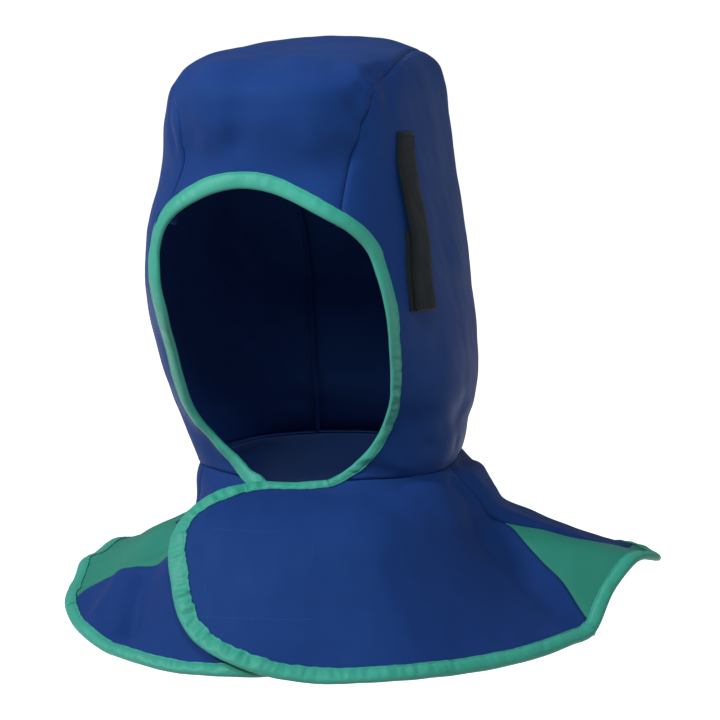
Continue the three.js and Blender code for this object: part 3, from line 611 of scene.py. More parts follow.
# Points of the crown at shares from the face edge to the nape, on lines at a share across it
def crown_points(across, start, share, shift):
    begin = over_angle(hood_point(*front(start)))

    def x_at(over):
        return lerp(seam_x("right", over), seam_x("left", over), across)

    low = np.full(np.shape(begin), 180.0)
    high = np.full(np.shape(begin), 240.0)
    for _ in range(34):
        over = (low + high) / 2
        above = hood_place(over_head(x_at(over), over))[1] < NECK_LINE
        low = np.where(above, over, low)
        high = np.where(above, high, over)
    over = lerp(begin, low, share)
    return over_head(x_at(over) + shift, over)


# Grids of points: rows go down the cloth and columns towards the wearer's left

def grid_normals(grid):
    return unit(np.cross(np.gradient(grid, axis=0), np.gradient(grid, axis=1)))


def run_lengths(grid, axis):
    steps = np.linalg.norm(np.diff(grid, axis=axis), axis=-1)
    pad = [(0, 0), (0, 0)]
    pad[axis] = (1, 0)
    return np.pad(np.cumsum(steps, axis=axis), pad)


# Distance of each grid point from the named sides of its grid
def side_distance(grid, sides):
    across = run_lengths(grid, 1)
    down = run_lengths(grid, 0)
    distances = {
        "right": across,
        "left": across[:, -1:] - across,
        "top": down,
        "bottom": down[-1:] - down,
    }
    return np.min([distances[side] for side in sides], axis=0)


def grid_quads(rows, columns, first):
    i, j = np.meshgrid(np.arange(rows - 1), np.arange(columns - 1), indexing="ij")
    a = (first + i * columns + j).ravel()
    return np.stack([a, a + columns, a + columns + 1, a + 1], 1)


def new_object(name, points, faces, material, maps=None):
    mesh = bpy.data.meshes.new(name)
    mesh.from_pydata((np.asarray(points) * METRE).tolist(), [], faces)
    mesh.validate()
    mesh.polygons.foreach_set("use_smooth", [True] * len(mesh.polygons))
    if maps is not None:
        corners = np.empty(len(mesh.loops), int)
        mesh.loops.foreach_get("vertex_index", corners)
        layer = mesh.uv_layers.new(name="cloth")
        layer.data.foreach_set("uv", np.asarray(maps)[corners].ravel())
    mesh.materials.append(material)
    thing = bpy.data.objects.new(name, mesh)
    bpy.context.scene.collection.objects.link(thing)
    return thing


# A closed sheet between two grids, with the cloth's own lengths as its map
def sheet_object(name, outer, inner, material):
    rows, columns = outer.shape[:2]
    count = rows * columns
    upper = grid_quads(rows, columns, 0)
    lower = grid_quads(rows, columns, count)[:, ::-1]
    top = np.arange(columns)
    bottom = (rows - 1) * columns + top
    right = np.arange(rows) * columns
    left = right + columns - 1
    rims = []
    for edge, forward in ((top, True), (bottom, False), (right, False), (left, True)):
        here = edge[:-1] if forward else edge[1:]
        there = edge[1:] if forward else edge[:-1]
        rims.append(np.stack([here, there, there + count, here + count], 1))
    faces = np.concatenate([upper, lower] + rims).tolist()
    spread = np.stack([run_lengths(outer, 1), run_lengths(outer, 0)], -1).reshape(-1, 2)
    points = np.concatenate([outer.reshape(-1, 3), inner.reshape(-1, 3)])
    return new_object(name, points, faces, material, np.concatenate([spread, spread]))


# The grid with its seam sides turned in, as a short allowance inside the hood
def turned_in(grid, ways, seams):
    depths = np.array(SEAM_ALLOWANCE)
    for side in seams:
        axis = 0 if side in ("top", "bottom") else 1
        first = side in ("top", "right")
        edge = np.take(grid, [0 if first else -1], axis=axis)
        way = np.take(ways, [0 if first else -1], axis=axis)
        steps = depths[::-1] if first else depths
        steps = steps[:, None, None] if axis == 0 else steps[None, :, None]
        extra = edge - way * steps
        more = np.broadcast_to(way, extra.shape)
        grid = np.concatenate([extra, grid] if first else [grid, extra], axis)
        ways = np.concatenate([more, ways] if first else [ways, more], axis)
    return grid


# A cloth panel, pinched in along its seams
def panel(name, node_name, grid, ways, material, seams):
    away = side_distance(grid, seams)
    pinch = PINCH_DEPTH * np.exp(-((away / PINCH_WIDTH) ** 2))
    outer = turned_in(grid - pinch[..., None] * grid_normals(grid), ways, seams)
    inner = outer - CLOTH * grid_normals(outer)
    thing = sheet_object(name, outer, inner, material)
    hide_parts(node_name)
    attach(thing, "root")
    return thing


def shares(length, step=STEP):
    return np.linspace(0, 1, int(math.ceil(length / step)) + 1)


# Node-made materials
def node(tree, kind, inputs=None, **settings):
    made = tree.nodes.new(kind)
    for key, value in settings.items():
        setattr(made, key, value)
    for key, value in (inputs or {}).items():
        if isinstance(value, bpy.types.NodeSocket):
            tree.links.new(value, made.inputs[key])
        else:
            made.inputs[key].default_value = value
    return made


def blank_material(name):
    material = bpy.data.materials.new(name)
    material.use_nodes = True
    return material, material.node_tree, material.node_tree.nodes["Principled BSDF"]


def noise(tree, vector, scale, detail=3, roughness=0.5):
    inputs = {"Vector": vector, "Scale": scale, "Detail": detail, "Roughness": roughness}
    return node(tree, "ShaderNodeTexNoise", inputs).outputs["Fac"]


def spread(tree, value, low, high):
    inputs = {"Value": value, "From Min": 0.25, "From Max": 0.75, "To Min": low, "To Max": high}
    return node(tree, "ShaderNodeMapRange", inputs).outputs["Result"]


def maths(tree, operation, first, second):
    return node(tree, "ShaderNodeMath", {0: first, 1: second}, operation=operation).outputs["Value"]


# Woven cloth: twill lines follow the cloth's own map, with soft mottling and fibres
def woven(name, colour, twill, twill_depth, mottle, sheen, sheen_tint, roughness, specular, tint):
    material, tree, shader = blank_material(name)
    cloth_map = node(tree, "ShaderNodeUVMap", uv_map="cloth").outputs["UV"]
    space = node(tree, "ShaderNodeTexCoord").outputs["Object"]
    wave = {"Vector": cloth_map, "Scale": 2 * math.pi / (10 * math.sqrt(2) * twill), "Distortion": 0.6}
    wave["Detail"] = 1
    wave["Detail Scale"] = 1.5
    lines = node(tree, "ShaderNodeTexWave", wave, bands_direction="DIAGONAL").outputs["Fac"]
    broad = spread(tree, noise(tree, space, 14, 4, 0.55), 1 - mottle, 1 + mottle)
    fine = spread(tree, noise(tree, space, 1100, 2), 1 - 0.6 * mottle, 1 + 0.6 * mottle)
    weave = node(tree, "ShaderNodeMapRange", {"Value": lines, "To Min": 0.93, "To Max": 1.04}).outputs[0]
    shade = maths(tree, "MULTIPLY", maths(tree, "MULTIPLY", broad, fine), weave)
    scaled = node(tree, "ShaderNodeVectorMath", {0: colour, "Scale": shade}, operation="SCALE")
    tree.links.new(scaled.outputs["Vector"], shader.inputs["Base Color"])
    rough = spread(tree, noise(tree, space, 60, 3), roughness - 0.05, roughness + 0.05)
    tree.links.new(rough, shader.inputs["Roughness"])
    fibres = noise(tree, space, 1600, 2, 0.6)
    soft = noise(tree, space, 55, 4, 0.5)
    first = node(tree, "ShaderNodeBump", {"Height": soft, "Strength": 0.35, "Distance": 0.0012})
    inputs = {"Height": lines, "Strength": twill_depth, "Distance": 0.0002, "Normal": first.outputs[0]}
    second = node(tree, "ShaderNodeBump", inputs)
    inputs = {"Height": fibres, "Strength": 0.3, "Distance": 0.00015, "Normal": second.outputs[0]}
    third = node(tree, "ShaderNodeBump", inputs)
    tree.links.new(third.outputs[0], shader.inputs["Normal"])
    shader.inputs["Sheen Weight"].default_value = sheen
    shader.inputs["Sheen Roughness"].default_value = 0.45
    shader.inputs["Sheen Tint"].default_value = sheen_tint
    shader.inputs["Specular IOR Level"].default_value = specular
    shader.inputs["Specular Tint"].default_value = tint
    return material


BLUE = woven(
    "blue_twill", (0.0135, 0.04, 0.185), 0.55, 0.2, 0.07,
    0.03, (0.2, 0.5, 1, 1), 0.6, 0.2, (0.1, 0.45, 1, 1),
)
FLAP_THREAD = woven(
    "blue_thread", (0.01, 0.16, 0.34), 0.5, 0.2, 0.07,
    0.03, (0.2, 0.5, 1, 1), 0.6, 0.2, (0.1, 0.45, 1, 1),
)
GUSSET_GREEN = woven(
    "green_stretch_cloth", (0.022, 0.225, 0.165), 0.5, 0.25, 0.06,
    0.12, (0.6, 1, 0.9, 1), 0.6, 0.25, (0.8, 1, 0.95, 1),
)
TAPE_GREEN = woven(
    "green_satin_tape", (0.04, 0.35, 0.26), 0.5, 0.25, 0.06,
    0.12, (0.7, 1, 0.95, 1), 0.48, 0.38, (0.8, 1, 0.95, 1),
)
BLACK = woven(
    "black_loop_tape", (0.0125, 0.0128, 0.0148), 1.1, 0.4, 0.16,
    0.12, (0.7, 0.75, 0.9, 1), 0.85, 0.15, (1, 1, 1, 1),
)


# Thread dashes along a line of points: each dash sinks in at its ends
def stitches(name, line, normals, material, long=2.4, gap=0.9, radius=0.24, lift=0.05):
    steps = np.linalg.norm(np.diff(line, axis=0), axis=1)
    lengths = np.concatenate([[0], np.cumsum(steps)])
    starts = np.arange(0.5 * gap, lengths[-1] - long, long + gap)
    places = starts[:, None] + long * np.array([0, 0.2, 0.5, 0.8, 1])
    middle = np.stack([np.interp(places, lengths, line[:, k]) for k in range(3)], -1)
    out = unit(np.stack([np.interp(places, lengths, normals[:, k]) for k in range(3)], -1))
    ahead = unit(np.gradient(middle, axis=1))
    aside = np.cross(out, ahead)
    size = radius * np.array([0.4, 0.9, 1, 0.9, 0.4])[None, :, None]
    depth = radius * np.array([-1, 0.1, 0.35, 0.1, -1])[None, :, None] + lift
    turns = np.linspace(0, 2 * math.pi, 7)[:-1]
    rings = [
        middle + out * (depth + size * math.sin(turn)) + aside * size * math.cos(turn) for turn in turns
    ]
    points = np.stack(rings, 2)
    count = len(turns)
    faces = []
    for dash in range(len(starts)):
        first = dash * 5 * count
        for ring in range(4):
            for k in range(count):
                a = first + ring * count + k
                b = first + ring * count + (k + 1) % count
                faces.append([a, b, b + count, a + count])
        faces.append([first + k for k in range(count)][::-1])
        faces.append([first + 4 * count + k for k in range(count)])
    flat = points.reshape(-1, 3)
    thing = new_object(name, flat, faces, material, flat[:, :2])
    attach(thing, "root")
    return thing


# Crown, with the cloth's length across it and from the face over the head to the nape
CROWN_ACROSS = 122
CROWN_OVER = 430


def crown():
    columns = shares(CROWN_ACROSS)
    rows = shares(CROWN_OVER)
    start = lerp(SEAM_START["right"], SEAM_START["left"], columns)
    point = hood_point(*front(start))
    right = seam_x("right", over_angle(point))
    across = (point[:, 0] - right) / (seam_x("left", over_angle(point)) - right)
    shift = np.zeros(len(columns))
    shift[0] = SEAM_HALF_GAP
    shift[-1] = -SEAM_HALF_GAP
    grid = crown_points(across, start, rows[:, None], shift)[::-1]
    normals = grid_normals(grid)
    angle, level = hood_place(grid)
    low = smoothstep(0.8, 0.9, level)[..., None]
    ways = unit(lerp(normals, wide_normals(angle, level), low))
    grid = grid + (fold_height(grid) + unevenness(grid))[..., None] * normals
    seams = ["right", "left", "top"]
    return panel("crown_cloth", "crown_panel", grid, ways, BLUE, seams)


# A side panel lies between the crown seam, the face edge and the neck seam. It turns over from the one
# seam to the other at the share CREST of the crown seam.
CREST = 0.567
SIDE_ACROSS = 240
SIDE_DOWN = 290


def side_panel(name, node_name, side):
    sign = 1 if side == OVER else -1
    half = "left" if side == OVER else "right"
    start = SEAM_START[half]
    end = FACE_END if side == OVER else FACE_START

    def seam(share):
        across = np.full(np.shape(share), 1.0 if side == OVER else 0.0)
        begin = np.full(np.shape(share), start)
        angle, level = hood_place(crown_points(across, begin, share, sign * SEAM_HALF_GAP))
        return np.stack([sign * angle, np.sqrt(np.clip(level, 0, NECK_LINE))], -1)

    def face(share):
        angle, level = front(lerp(start, end, share))
        return np.stack([sign * angle, np.sqrt(np.minimum(level, NECK_LINE))], -1)

    u = shares(SIDE_ACROSS)
    w = shares(SIDE_DOWN)
    throat = face(np.array(1.0))
    nape = seam(np.array(1.0))
    crest = seam(np.array(CREST))
    peak = face(np.array(0.0))
    across_row = lerp(face(w)[:, None], seam(lerp(CREST, 1, w))[:, None], u[None, :, None])
    foot = lerp(throat, nape, u[:, None])[None]
    down_column = lerp(seam(u * CREST)[None], foot, w[:, None, None])
    corners = lerp(lerp(peak, crest, u[:, None])[None], foot, w[:, None, None])
    both = across_row + down_column - corners
    angle = sign * both[..., 0]
    level = np.clip(both[..., 1], 0, math.sqrt(NECK_LINE)) ** 2
    if side == UNDER:
        angle = angle[:, ::-1]
        level = level[:, ::-1]
    grid = cloth(angle, level, side)
    ways = wide_normals(angle, level)
    seams = ["top", "bottom", "left" if side == OVER else "right"]
    return panel(name, node_name, grid, ways, BLUE, seams)


# Cape
CAPE_TOP = float(step_down(1, SEAM_HALF_GAP)) - 1


# An edge beside a shoulder seam at shares down it, on the side of larger angles where way is 1
def shoulder(half, way, inset, down):
    share = np.maximum(down, CAPE_TOP)
    gap = np.maximum(along(SHOULDERS["along"], SHOULDERS[half + "Spread"], share), 0)
    point = cape_point(SHOULDERS[half][0], share)
    turn = np.degrees(SEAM_HALF_GAP / np.hypot(point[..., 0], point[..., 1]))
    middle = along(SHOULDERS["along"], SHOULDERS[half], share)
    return middle + way * (gap / 2 - inset * turn), 1 + share


def flap_edge(begin, end, share):
    angle, level = front(lerp(begin, end, share))
    return angle, np.maximum(level, 1 + CAPE_TOP)


def cape_panel(name, node_name, right, left, rows, columns, side, material, slot, seams):
    start_angle, start_level = right(rows)
    end_angle, end_level = left(rows)
    angle = lerp(start_angle[:, None], end_angle[:, None], columns)
    level = lerp(start_level[:, None], end_level[:, None], columns)
    level = np.minimum(level, 2)
    grid = cloth(angle, level, side)
    return panel(name, node_name, grid, wide_normals(angle, level), material, seams)


# Lengths of cloth down the cape's slope and across each of its panels
SLOPE_LENGTH = 1.3 * CAPE_DROP
LEFT_FLAP_EXTRA = 30
RIGHT_FLAP_EXTRA = 20
LEFT_FLAP_ACROSS = 270
RIGHT_FLAP_ACROSS = 200
BACK_ACROSS = 480
GUSSET_ACROSS = 110


def left_flap():
    rows = shares(SLOPE_LENGTH + LEFT_FLAP_EXTRA)
    columns = shares(LEFT_FLAP_ACROSS)

    def free(down):
        return flap_edge(FACE_END, FRONT_LENGTH, down)

    def seam(down):
        return shoulder("left", -1, -1, down)

    seams = ["left", "top"]
    args = (free, seam, rows, columns, OVER, BLUE, "blue_cloth", seams)
    return cape_panel("left_front_cloth", "cape_front_left", *args)


def right_flap():
    rows = shares(SLOPE_LENGTH + RIGHT_FLAP_EXTRA)
    columns = shares(RIGHT_FLAP_ACROSS)

    def seam(down):
        return shoulder("right", 1, -1, down)

    def free(down):
        return flap_edge(FACE_START, 0, down)

    args = (seam, free, rows, columns, UNDER, BLUE, "blue_cloth", ["right", "top"])
    return cape_panel("right_front_cloth", "cape_front_right", *args)


def cape_back():
    rows = shares(SLOPE_LENGTH)
    columns = shares(BACK_ACROSS)

    def left(down):
        return shoulder("left", 1, -1, down)

    def right(down):
        angle, level = shoulder("right", -1, -1, down)
        return angle + 360, level

    args = (left, right, rows, columns, 0, BLUE, "blue_cloth", ["left", "right", "top"])
    return cape_panel("cape_back_cloth", "cape_back", *args)


def gusset(half, side):
    top = GUSSET_TOPS[half]
    rows = lerp(top, 1, shares((1 - top) * SLOPE_LENGTH, 1.4))
    columns = shares(GUSSET_ACROSS, 1.6)

    def start(down):
        return shoulder(half, -1, 1, down)

    def end(down):
        return shoulder(half, 1, 1, down)

    args = (start, end, rows, columns, side, GUSSET_GREEN, "green_cloth", ["left", "right"])
    return cape_panel(f"{half}_stretch_wedge", f"gusset_{half}", *args)


# Section of the folded tape: distance into the cloth from its edge and height over the cloth
TAPE_SECTION = [
    (1, 0.14), (1, 0.5), (0.965, 0.78), (0.93, 0.8), (0.89, 0.7), (0.86, 0.66), (0.82, 0.82), (0.76, 1.06),
    (0.66, 1.3), (0.55, 1.45), (0.44, 1.52), (0.33, 1.52), (0.22, 1.46), (0.12, 1.34), (0.02, 1.1),
    (-0.07, 0.66), (-0.125, 0.1), (-0.14, -0.6), (-0.125, -1.3), (-0.07, -1.86), (0.02, -2.3),
    (0.15, -2.6), (0.35, -2.7), (0.6, -2.6), (0.8, -2.2), (0.9, -1.95), (0.97, -1.95), (1, -1.7),
    (1, -1.34), (0.7, -1.36), (0.4, -1.36), (0.1, -1.36), (0, -1.2), (0, 0), (0.1, 0.16),
    (0.4, 0.16), (0.7, 0.16),
]
OUTER_POINTS = 17
STITCH_POINT = 5


# Cross puckers along a tape: small ridges and dents at uneven steps
def puckers(run, across, strength, seed):
    chance = np.random.default_rng(seed)
    height = np.zeros(np.broadcast(run, across).shape)
    at = 0
    while at < run.max():
        size = chance.uniform(0.4, 1) * chance.choice([-1, 1], p=[0.6, 0.4])
        width = chance.uniform(1, 2.1)
        slant = chance.uniform(-0.35, 0.35)
        height += size * np.exp(-(((run - at - slant * (across - 5)) / width) ** 2))
        at += chance.uniform(3.2, 7)
    return height * strength


# The rings of a folded tape along an edge, whose cloth lies to the left of the way along
def tape_grid(angle, level, side, width, strength, seed):
    edge, out = place(angle, level, side)
    lengths = np.concatenate([[0], np.cumsum(np.linalg.norm(np.diff(edge, axis=0), axis=1))])
    smooth_run = np.gradient(round_point(angle, level), lengths, axis=0)
    inward = unit(np.cross(out, smooth_run))
    width = width + 0.45 * puckers(lengths, 0, strength, seed + 7) + 0.15 * np.sin(lengths / 5.3)
    spots = [(edge, out)]
    for part in (0.25, 0.5, 0.75, 1):
        spot = walk(angle, level, inward, width * part)
        spots.append(place(*spot, side))
    points = np.stack([spot[0] for spot in spots], 1)
    outs = np.stack([spot[1] for spot in spots], 1)
    rings = []
    for k, (part, height) in enumerate(TAPE_SECTION):
        if part <= 0:
            base = edge + inward * (part * width)[:, None]
            normal = out
        else:
            slot_number = min(int(part * 4), 3)
            mix = part * 4 - slot_number
            base = lerp(points[:, slot_number], points[:, slot_number + 1], mix)
            normal = lerp(outs[:, slot_number], outs[:, slot_number + 1], mix)
        loose = smoothstep(-0.15, 0.45, part) * smoothstep(1.02, 0.8, part)
        bump = 0
        if k < OUTER_POINTS:
            bump = loose * puckers(lengths, part * TAPE_WIDTH, strength, seed)
        elif height < -CLOTH - 0.3:
            bump = -0.5 * loose * puckers(lengths, part * TAPE_WIDTH, strength, seed + 50)
        if k < OUTER_POINTS and height > 0.3:
            bump = np.maximum(bump, 0.25 - height)
        rings.append(base + (height + bump * np.ones(len(lengths)))[:, None] * normal)
    return np.stack(rings, 1), lengths


def tape_object(name, node_name, grid, lengths):
    count = len(TAPE_SECTION)
    rows = len(lengths)
    faces = []
    for k in range(count):
        following = (k + 1) % count
        i = np.arange(rows - 1) * count
        faces.append(np.stack([i + k, i + following, i + count + following, i + count + k], 1))
    faces = np.concatenate(faces).tolist()
    for first, flip in ((0, True), ((rows - 1) * count, False)):
        cap = cap_quads(count)
        faces.extend([[first + corner for corner in (quad[::-1] if flip else quad)] for quad in cap])
    around = np.linspace(0, 2 * TAPE_WIDTH, count)
    maps = np.stack(np.broadcast_arrays(lengths[:, None], around[None]), -1).reshape(-1, 2)
    thing = new_object(name, grid.reshape(-1, 3), faces, TAPE_GREEN, maps)
    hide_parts(node_name)
    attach(thing, "root")
    groove = grid[:, STITCH_POINT]
    stitches(name + "_thread", groove, grid_normals(grid)[:, STITCH_POINT], TAPE_GREEN)
    return thing


# Quads that close the end of the folded section between its outer and inner outlines
def cap_quads(count):
    outer = list(range(0, 29))
    inner = [0] + list(range(count - 1, 28, -1)) + [28]
    quads = []
    for k in range(len(outer) - 1):
        a = outer[k]
        b = outer[k + 1]
        c = inner[round((k + 1) * (len(inner) - 1) / (len(outer) - 1))]
        d = inner[round(k * (len(inner) - 1) / (len(outer) - 1))]
        corners = []
        for corner in (a, b, c, d):
            if corner not in corners:
                corners.append(corner)
        if len(corners) > 2:
            quads.append(corners)
    return quads


TUCK = 26
TAPE_STEP = 1.1
HEM_ENDS = {
    "left_front": float(shoulder("left", -1, 0, np.array(1.0))[0]),
    "left_back": float(shoulder("left", 1, 0, np.array(1.0))[0]),
    "right_back": float(shoulder("right", -1, 0, np.array(1.0))[0]),
    "right_front": float(shoulder("right", 1, 0, np.array(1.0))[0]),
}


def hem_steps(begin, end):
    return np.linspace(begin, end, int(abs(end - begin) * math.radians(1) * 0.8 * CAPE_REACH / TAPE_STEP) + 2)


def front_steps(begin, end):
    return np.linspace(begin, end, int(abs(end - begin) / TAPE_STEP) + 2)


# Width and puckers of the tape along the front edge, by share of the way round the face and then
# down the left flap: it is widest over the forehead and on the flap
TAPE_ALONG = table("share width pucker", [
    [-0.2, 5.6, 0.3],
    [0.03, 5.6, 0.3],
    [0.12, 6.6, 0.35],
    [0.22, 8, 0.35],
    [0.35, 8.8, 0.45],
    [0.5, 8.2, 0.3],
    [0.62, 7, 0.35],
    [0.75, 5.8, 0.6],
    [0.87, 4.9, 0.7],
    [1, 5.2, 0.7],
    [1.06, 6, 0.8],
    [1.12, 8, 1.2],
    [1.18, 10, 1.7],
    [1.26, 10.4, 1.9],
    [1.33, 9, 1.8],
    [1.4, 8.2, 1.6],
    [1.5, 8, 0.9],
    [1.7, 7.8, 0.45],
    [2.6, 7.8, 0.4],
])


def front_tape():
    face = front_steps(FACE_START - TUCK, FACE_END)
    flap = front_steps(FACE_END, FRONT_LENGTH)[1:]
    lengths = np.concatenate([face, flap])
    angle, level = front(lengths)
    hem = hem_steps(FRONT_EDGE["angle"][-1], HEM_ENDS["left_front"] - 0.02)[1:]
    angle = np.concatenate([angle, hem])
    level = np.concatenate([level, np.full(len(hem), 2.0)])
    side = np.where(np.arange(len(angle)) < np.searchsorted(lengths, SEAM_START["right"]), UNDER, OVER)
    points = sharp_point(angle, level)
    run = np.concatenate([[0], np.cumsum(np.linalg.norm(np.diff(points, axis=0), axis=1))])
    run = run + FACE_START - TUCK
    share = (run - FACE_START) / (FACE_END - FACE_START)
    width = along(TAPE_ALONG["share"], TAPE_ALONG["width"], share)
    strength = along(TAPE_ALONG["share"], TAPE_ALONG["pucker"], share)
    grid, lengths = tape_grid(angle, level, side, width, strength, 11)
    joint = len(face)
    tape_object("face_tape", "face_binding", grid[:joint], lengths[:joint])
    tape_object("left_front_tape", "flap_binding_left", grid[joint - 1:], lengths[joint - 1:])


def right_flap_tape():
    hem = hem_steps(HEM_ENDS["right_front"] + 0.02, FRONT_EDGE["angle"][0])[:-1]
    angle, level = front(front_steps(0, FACE_START - TUCK - 1))
    angle = np.concatenate([hem, angle])
    level = np.concatenate([np.full(len(hem), 2.0), level])
    side = np.full(len(angle), UNDER)
    grid, lengths = tape_grid(angle, level, side, 6.4, np.full(len(angle), 0.5), 31)
    tape_object("right_front_tape", "flap_binding_right", grid, lengths)


def back_tape():
    begin = HEM_ENDS["left_front"] + 0.02
    end = HEM_ENDS["right_front"] + 360 - 0.02
    angle = hem_steps(begin, end)
    level = np.full(len(angle), 2.0)
    side = np.where(angle < 180, OVER, UNDER)
    grid, lengths = tape_grid(angle, level, side, 7, np.full(len(angle), 0.45), 41)
    tape_object("back_hem_tape", "hem_binding_back", grid, lengths)


# A band down the hood along the strap's line, between two shares of the strap, moved towards the face
def band_grid(half, begin, end, step, columns, ahead=0):
    steps = shares((end - begin) * STRAP_LENGTH, step)
    share = lerp(begin, end, steps)
    middle = along(STRAP_LINE["along"], STRAP_LINE[half], share)
    level = STRAP_TOP + share * STRAP_LENGTH / HOOD_HEIGHT
    apart = np.linalg.norm(hood_point(middle + 1, level) - hood_point(middle - 1, level), axis=-1)
    turn = STRAP_WIDTH / apart
    shift = np.sign(middle) * 2 * ahead / apart
    across = np.linspace(-1, 1, columns)
    angle = (middle - shift)[:, None] + turn[:, None] * across
    points, out = place(angle, np.broadcast_to(level[:, None], angle.shape), 0)
    return points, out, share[:, None], across[None]


PATCH_START = 1 - PATCH_LENGTH / STRAP_LENGTH
SEWN_END = 0.105


# The strap is sewn on at its top, stands off a little below it, and lies over its patch at its foot
def strap(half, seed):
    points, out, share, across = band_grid(half, 0, 1, 1.2, 17)
    climb = smoothstep(PATCH_START - 0.2, PATCH_START - 0.02, share)
    under = STRAP_CLEARANCE + climb * (PATCH_THICKNESS + STRAP_CLEARANCE)
    under = under + 0.9 * smoothstep(SEWN_END, 0.3, share) * smoothstep(PATCH_START, 0.35, share)
    sewn = smoothstep(SEWN_END + 0.03, SEWN_END - 0.02, share)
    round_edge = 1 - np.maximum(np.abs(across), 0) ** 8
    ends = smoothstep(0, 0.012, share) * smoothstep(1, 0.988, share)
    thick = STRAP_THICKNESS * (0.35 + 0.65 * round_edge * ends) - 0.5 * sewn
    fuzz = 0.12 * ripple(points, 2.2, seed) + 0.1 * ripple(points, 1.1, seed + 1)
    curl = 0.25 * ripple(points, 24, seed + 2)
    under = under + curl * (1 - sewn)
    outer = points + out * (under + thick + fuzz * round_edge)[..., None]
    inner = points + out * (under + 0 * across)[..., None]
    thing = sheet_object(f"{half}_strap_tape", outer, inner, BLACK)
    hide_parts(f"strap_{half}")
    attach(thing, "root")
    fibres(f"{half}_strap_fuzz", outer, grid_normals(outer), seed)
    sewn_box(f"{half}_strap_thread", outer, share[:, 0])
    return thing


# Thread round the sewn top of a strap
def sewn_box(name, grid, share):
    normals = grid_normals(grid)
    low = int(np.searchsorted(share, 0.018))
    high = int(np.searchsorted(share, SEWN_END - 0.012))
    near = 2
    far = grid.shape[1] - 3
    path = [(low, j) for j in range(near, far + 1)]
    path += [(i, far) for i in range(low + 1, high + 1)]
    path += [(high, j) for j in range(far - 1, near - 1, -1)]
    path += [(i, near) for i in range(high - 1, low - 1, -1)]
    rows, columns = np.array(path).T
    line = grid[rows, columns]
    return stitches(name, line, normals[rows, columns], BLACK, 2, 0.6, 0.22, 0.12)


# Short fibres that stand out of a fuzzy tape, thickest along its edges
def fibres(name, grid, normals, seed, count=1500):
    chance = np.random.default_rng(seed)
    rows, columns = grid.shape[:2]
    i = chance.integers(1, rows - 1, count)
    edge = chance.random(count) < 0.4
    j = np.where(edge, chance.choice([0, columns - 1], count), chance.integers(0, columns, count))
    root = grid[i, j] + chance.normal(0, 0.3, (count, 3))
    lean = unit(normals[i, j] + chance.normal(0, 0.7, (count, 3)))
    bend = unit(lean + chance.normal(0, 0.8, (count, 3)))
    long = chance.uniform(0.35, 0.8, count)[:, None]
    side = unit(np.cross(lean, bend)) * 0.045
    mid = root + lean * long * 0.5
    tip = mid + bend * long * 0.5
    base = root - lean * 0.3
    points = np.stack([base - side, base + side, mid + side, mid - side, tip], 1)
    faces = []
    for k in range(count):
        a = 5 * k
        faces.append([a, a + 1, a + 2, a + 3])
        faces.append([a + 3, a + 2, a + 4])
    flat = points.reshape(-1, 3)
    thing = new_object(name, flat, faces, BLACK, flat[:, :2])
    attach(thing, "root")
    return thing


# A hook-and-loop patch with soft edges, from a band of places
def patch(name, node_name, points, out, low, high, seed):
    rows, columns = points.shape[:2]
    across = np.linspace(-1, 1, columns)[None]
    down = np.linspace(-1, 1, rows)[:, None]
    edge = np.maximum(1 - np.abs(across) ** 12 - np.abs(down) ** 16, 0)
    fuzz = 0.1 * ripple(points, 1.6, seed) + 0.08 * ripple(points, 0.9, seed + 1)
    top = low + (high - low) * (0.45 + 0.55 * edge) + fuzz * edge
    outer = points + out * top[..., None]
    inner = points + out * low
    thing = sheet_object(name, outer, inner, BLACK)
    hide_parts(node_name)
    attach(thing, "root")
    return thing


def strap_patch(half, seed):
    points, out = band_grid(half, PATCH_START, 1, 1, 21, PATCH_SHIFT)[:2]
    args = (points, out, 0.15, STRAP_CLEARANCE + PATCH_THICKNESS, seed)
    return patch(f"{half}_strap_patch_tape", f"strap_patch_{half}", *args)


def closure_patch():
    down = shares(CLOSURE_HEIGHT, 1.4)
    across = np.linspace(-1, 1, 36)
    level = CLOSURE_MIDDLE["level"] + (down - 0.5) * CLOSURE_HEIGHT / SLOPE_LENGTH
    angle = lerp(CLOSURE_MIDDLE["top"], CLOSURE_MIDDLE["foot"], down)
    apart = np.linalg.norm(sharp_point(angle + 5, level) - sharp_point(angle - 5, level), axis=-1) / 10
    spread_angle = angle[:, None] + (CLOSURE_WIDTH / 2 / apart)[:, None] * across
    points, out = place(spread_angle, np.broadcast_to(level[:, None], spread_angle.shape), 0)
    room = LAP - STRAP_CLEARANCE
    return patch("closure_tape", "closure_patch", points, out, -room, room - CLOTH, 81)


# Faint stitches of the hidden patch on the left flap: corners by angle and level, and the share of
# each side from corner to corner where the thread shows
PATCH_CORNERS = [(-29, 1.41), (14.7, 1.36), (16.2, 1.74), (-15.7, 1.77), (-29, 1.41)]
PATCH_SIDES = {"top": (0.06, 0.72), "left": (0.14, 0.36), "foot": (0, 1.1), "right": (-0.04, 0.36)}


def patch_stitches():
    corners = np.array(PATCH_CORNERS, float)
    for k, (side, (begin, end)) in enumerate(PATCH_SIDES.items()):
        path = lerp(corners[k], corners[k + 1], np.linspace(begin, end, 60)[:, None])
        points, out = place(path[:, 0], path[:, 1], OVER)
        stitches(f"flap_thread_{side}", points, out, FLAP_THREAD, 1.9, 0.7, 0.1, 0)


crown()
side_panel("left_side_cloth", "side_panel_left", OVER)
side_panel("right_side_cloth", "side_panel_right", UNDER)
left_flap()
right_flap()
cape_back()
gusset("left", OVER)
gusset("right", UNDER)
front_tape()
right_flap_tape()
back_tape()
for maker, seeds in ((strap, (51, 61)), (strap_patch, (55, 65))):
    for half, seed in zip(("left", "right"), seeds):
        maker(half, seed)
closure_patch()
patch_stitches()

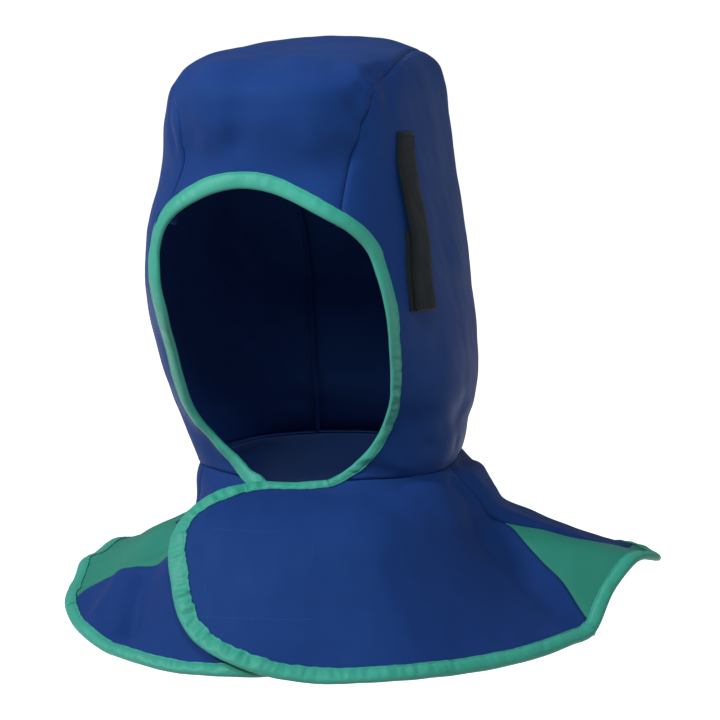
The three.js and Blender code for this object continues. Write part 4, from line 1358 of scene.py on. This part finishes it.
# Camera at the photograph's viewing angle
azimuth = math.radians(CAMERA_AZIMUTH)
elevation = math.radians(CAMERA_ELEVATION)
RIGHT = np.array([math.cos(azimuth), math.sin(azimuth), 0])
BACK = np.array([
    math.sin(azimuth) * math.cos(elevation),
    -math.cos(azimuth) * math.cos(elevation),
    math.sin(elevation),
])
UP = np.cross(BACK, RIGHT)
AIM = RIGHT * AIM_RIGHT + np.array([0, 0, AIM_UP])


def turned_to(direction):
    return Vector(direction).to_track_quat("Z", "Y").to_euler()


camera_data = bpy.data.cameras.new("camera")
camera_data.lens = CAMERA_LENS
camera_data.sensor_width = 36
camera_data.clip_end = 50
camera = bpy.data.objects.new("camera", camera_data)
camera.location = (AIM + BACK * CAMERA_DISTANCE) * METRE
camera.rotation_euler = turned_to(BACK)
bpy.context.scene.collection.objects.link(camera)
bpy.context.scene.camera = camera


# Soft studio lights, placed to the right of, above and behind the camera's aim
def soft_light(name, right, up, back, size, power, colour=(1, 1, 1)):
    data = bpy.data.lights.new(name, "AREA")
    data.shape = "DISK"
    data.size = size
    data.energy = power
    data.color = colour
    light = bpy.data.objects.new(name, data)
    way = RIGHT * right + UP * up + BACK * back
    light.location = AIM * METRE + way
    light.rotation_euler = turned_to(way)
    bpy.context.scene.collection.objects.link(light)


soft_light("key_light", -1.6, 1.1, 0.9, 0.4, 32)
soft_light("fill_light", 1.8, 0.3, 1.0, 1.2, 4)
soft_light("top_light", 0.2, 2.0, -0.2, 1.0, 2)
soft_light("crown_light", -0.05, 0.45, 0.55, 0.15, 1.6, (0.6, 1, 1))

world = bpy.data.worlds.new("studio")
world.use_nodes = True
tree = world.node_tree
backdrop = tree.nodes["Background"]
backdrop.inputs["Color"].default_value = (1, 1, 1, 1)
seen = node(tree, "ShaderNodeLightPath").outputs["Is Camera Ray"]
strength = node(tree, "ShaderNodeMapRange", {"Value": seen, "To Min": 0.2, "To Max": 1.05})
tree.links.new(strength.outputs["Result"], backdrop.inputs["Strength"])
bpy.context.scene.world = world
bpy.context.scene.view_settings.view_transform = "Standard"

# Plain pale floor, well below the hem because the hood is held up
FLOOR_DROP = 420
FLOOR_REACH = 12000
floor_material, floor_tree, floor_shader = blank_material("pale_floor")
grain = noise(floor_tree, node(floor_tree, "ShaderNodeTexCoord").outputs["Object"], 3)
tone = node(floor_tree, "ShaderNodeMapRange", {"Value": grain, "To Min": 0.93, "To Max": 0.95})
floor_tree.links.new(tone.outputs["Result"], floor_shader.inputs["Base Color"])
floor_shader.inputs["Roughness"].default_value = 0.9
floor_shader.inputs["Emission Color"].default_value = (1, 1, 1, 1)
floor_shader.inputs["Emission Strength"].default_value = 1.02
floor_corners = np.array([(-1, -1, 0), (1, -1, 0), (1, 1, 0), (-1, 1, 0)], float)
floor_points = floor_corners * FLOOR_REACH + [0, 0, -HOOD_HEIGHT - FLOOR_DROP]
floor = new_object("floor", floor_points, [[0, 1, 2, 3]], floor_material)
floor.visible_diffuse = False
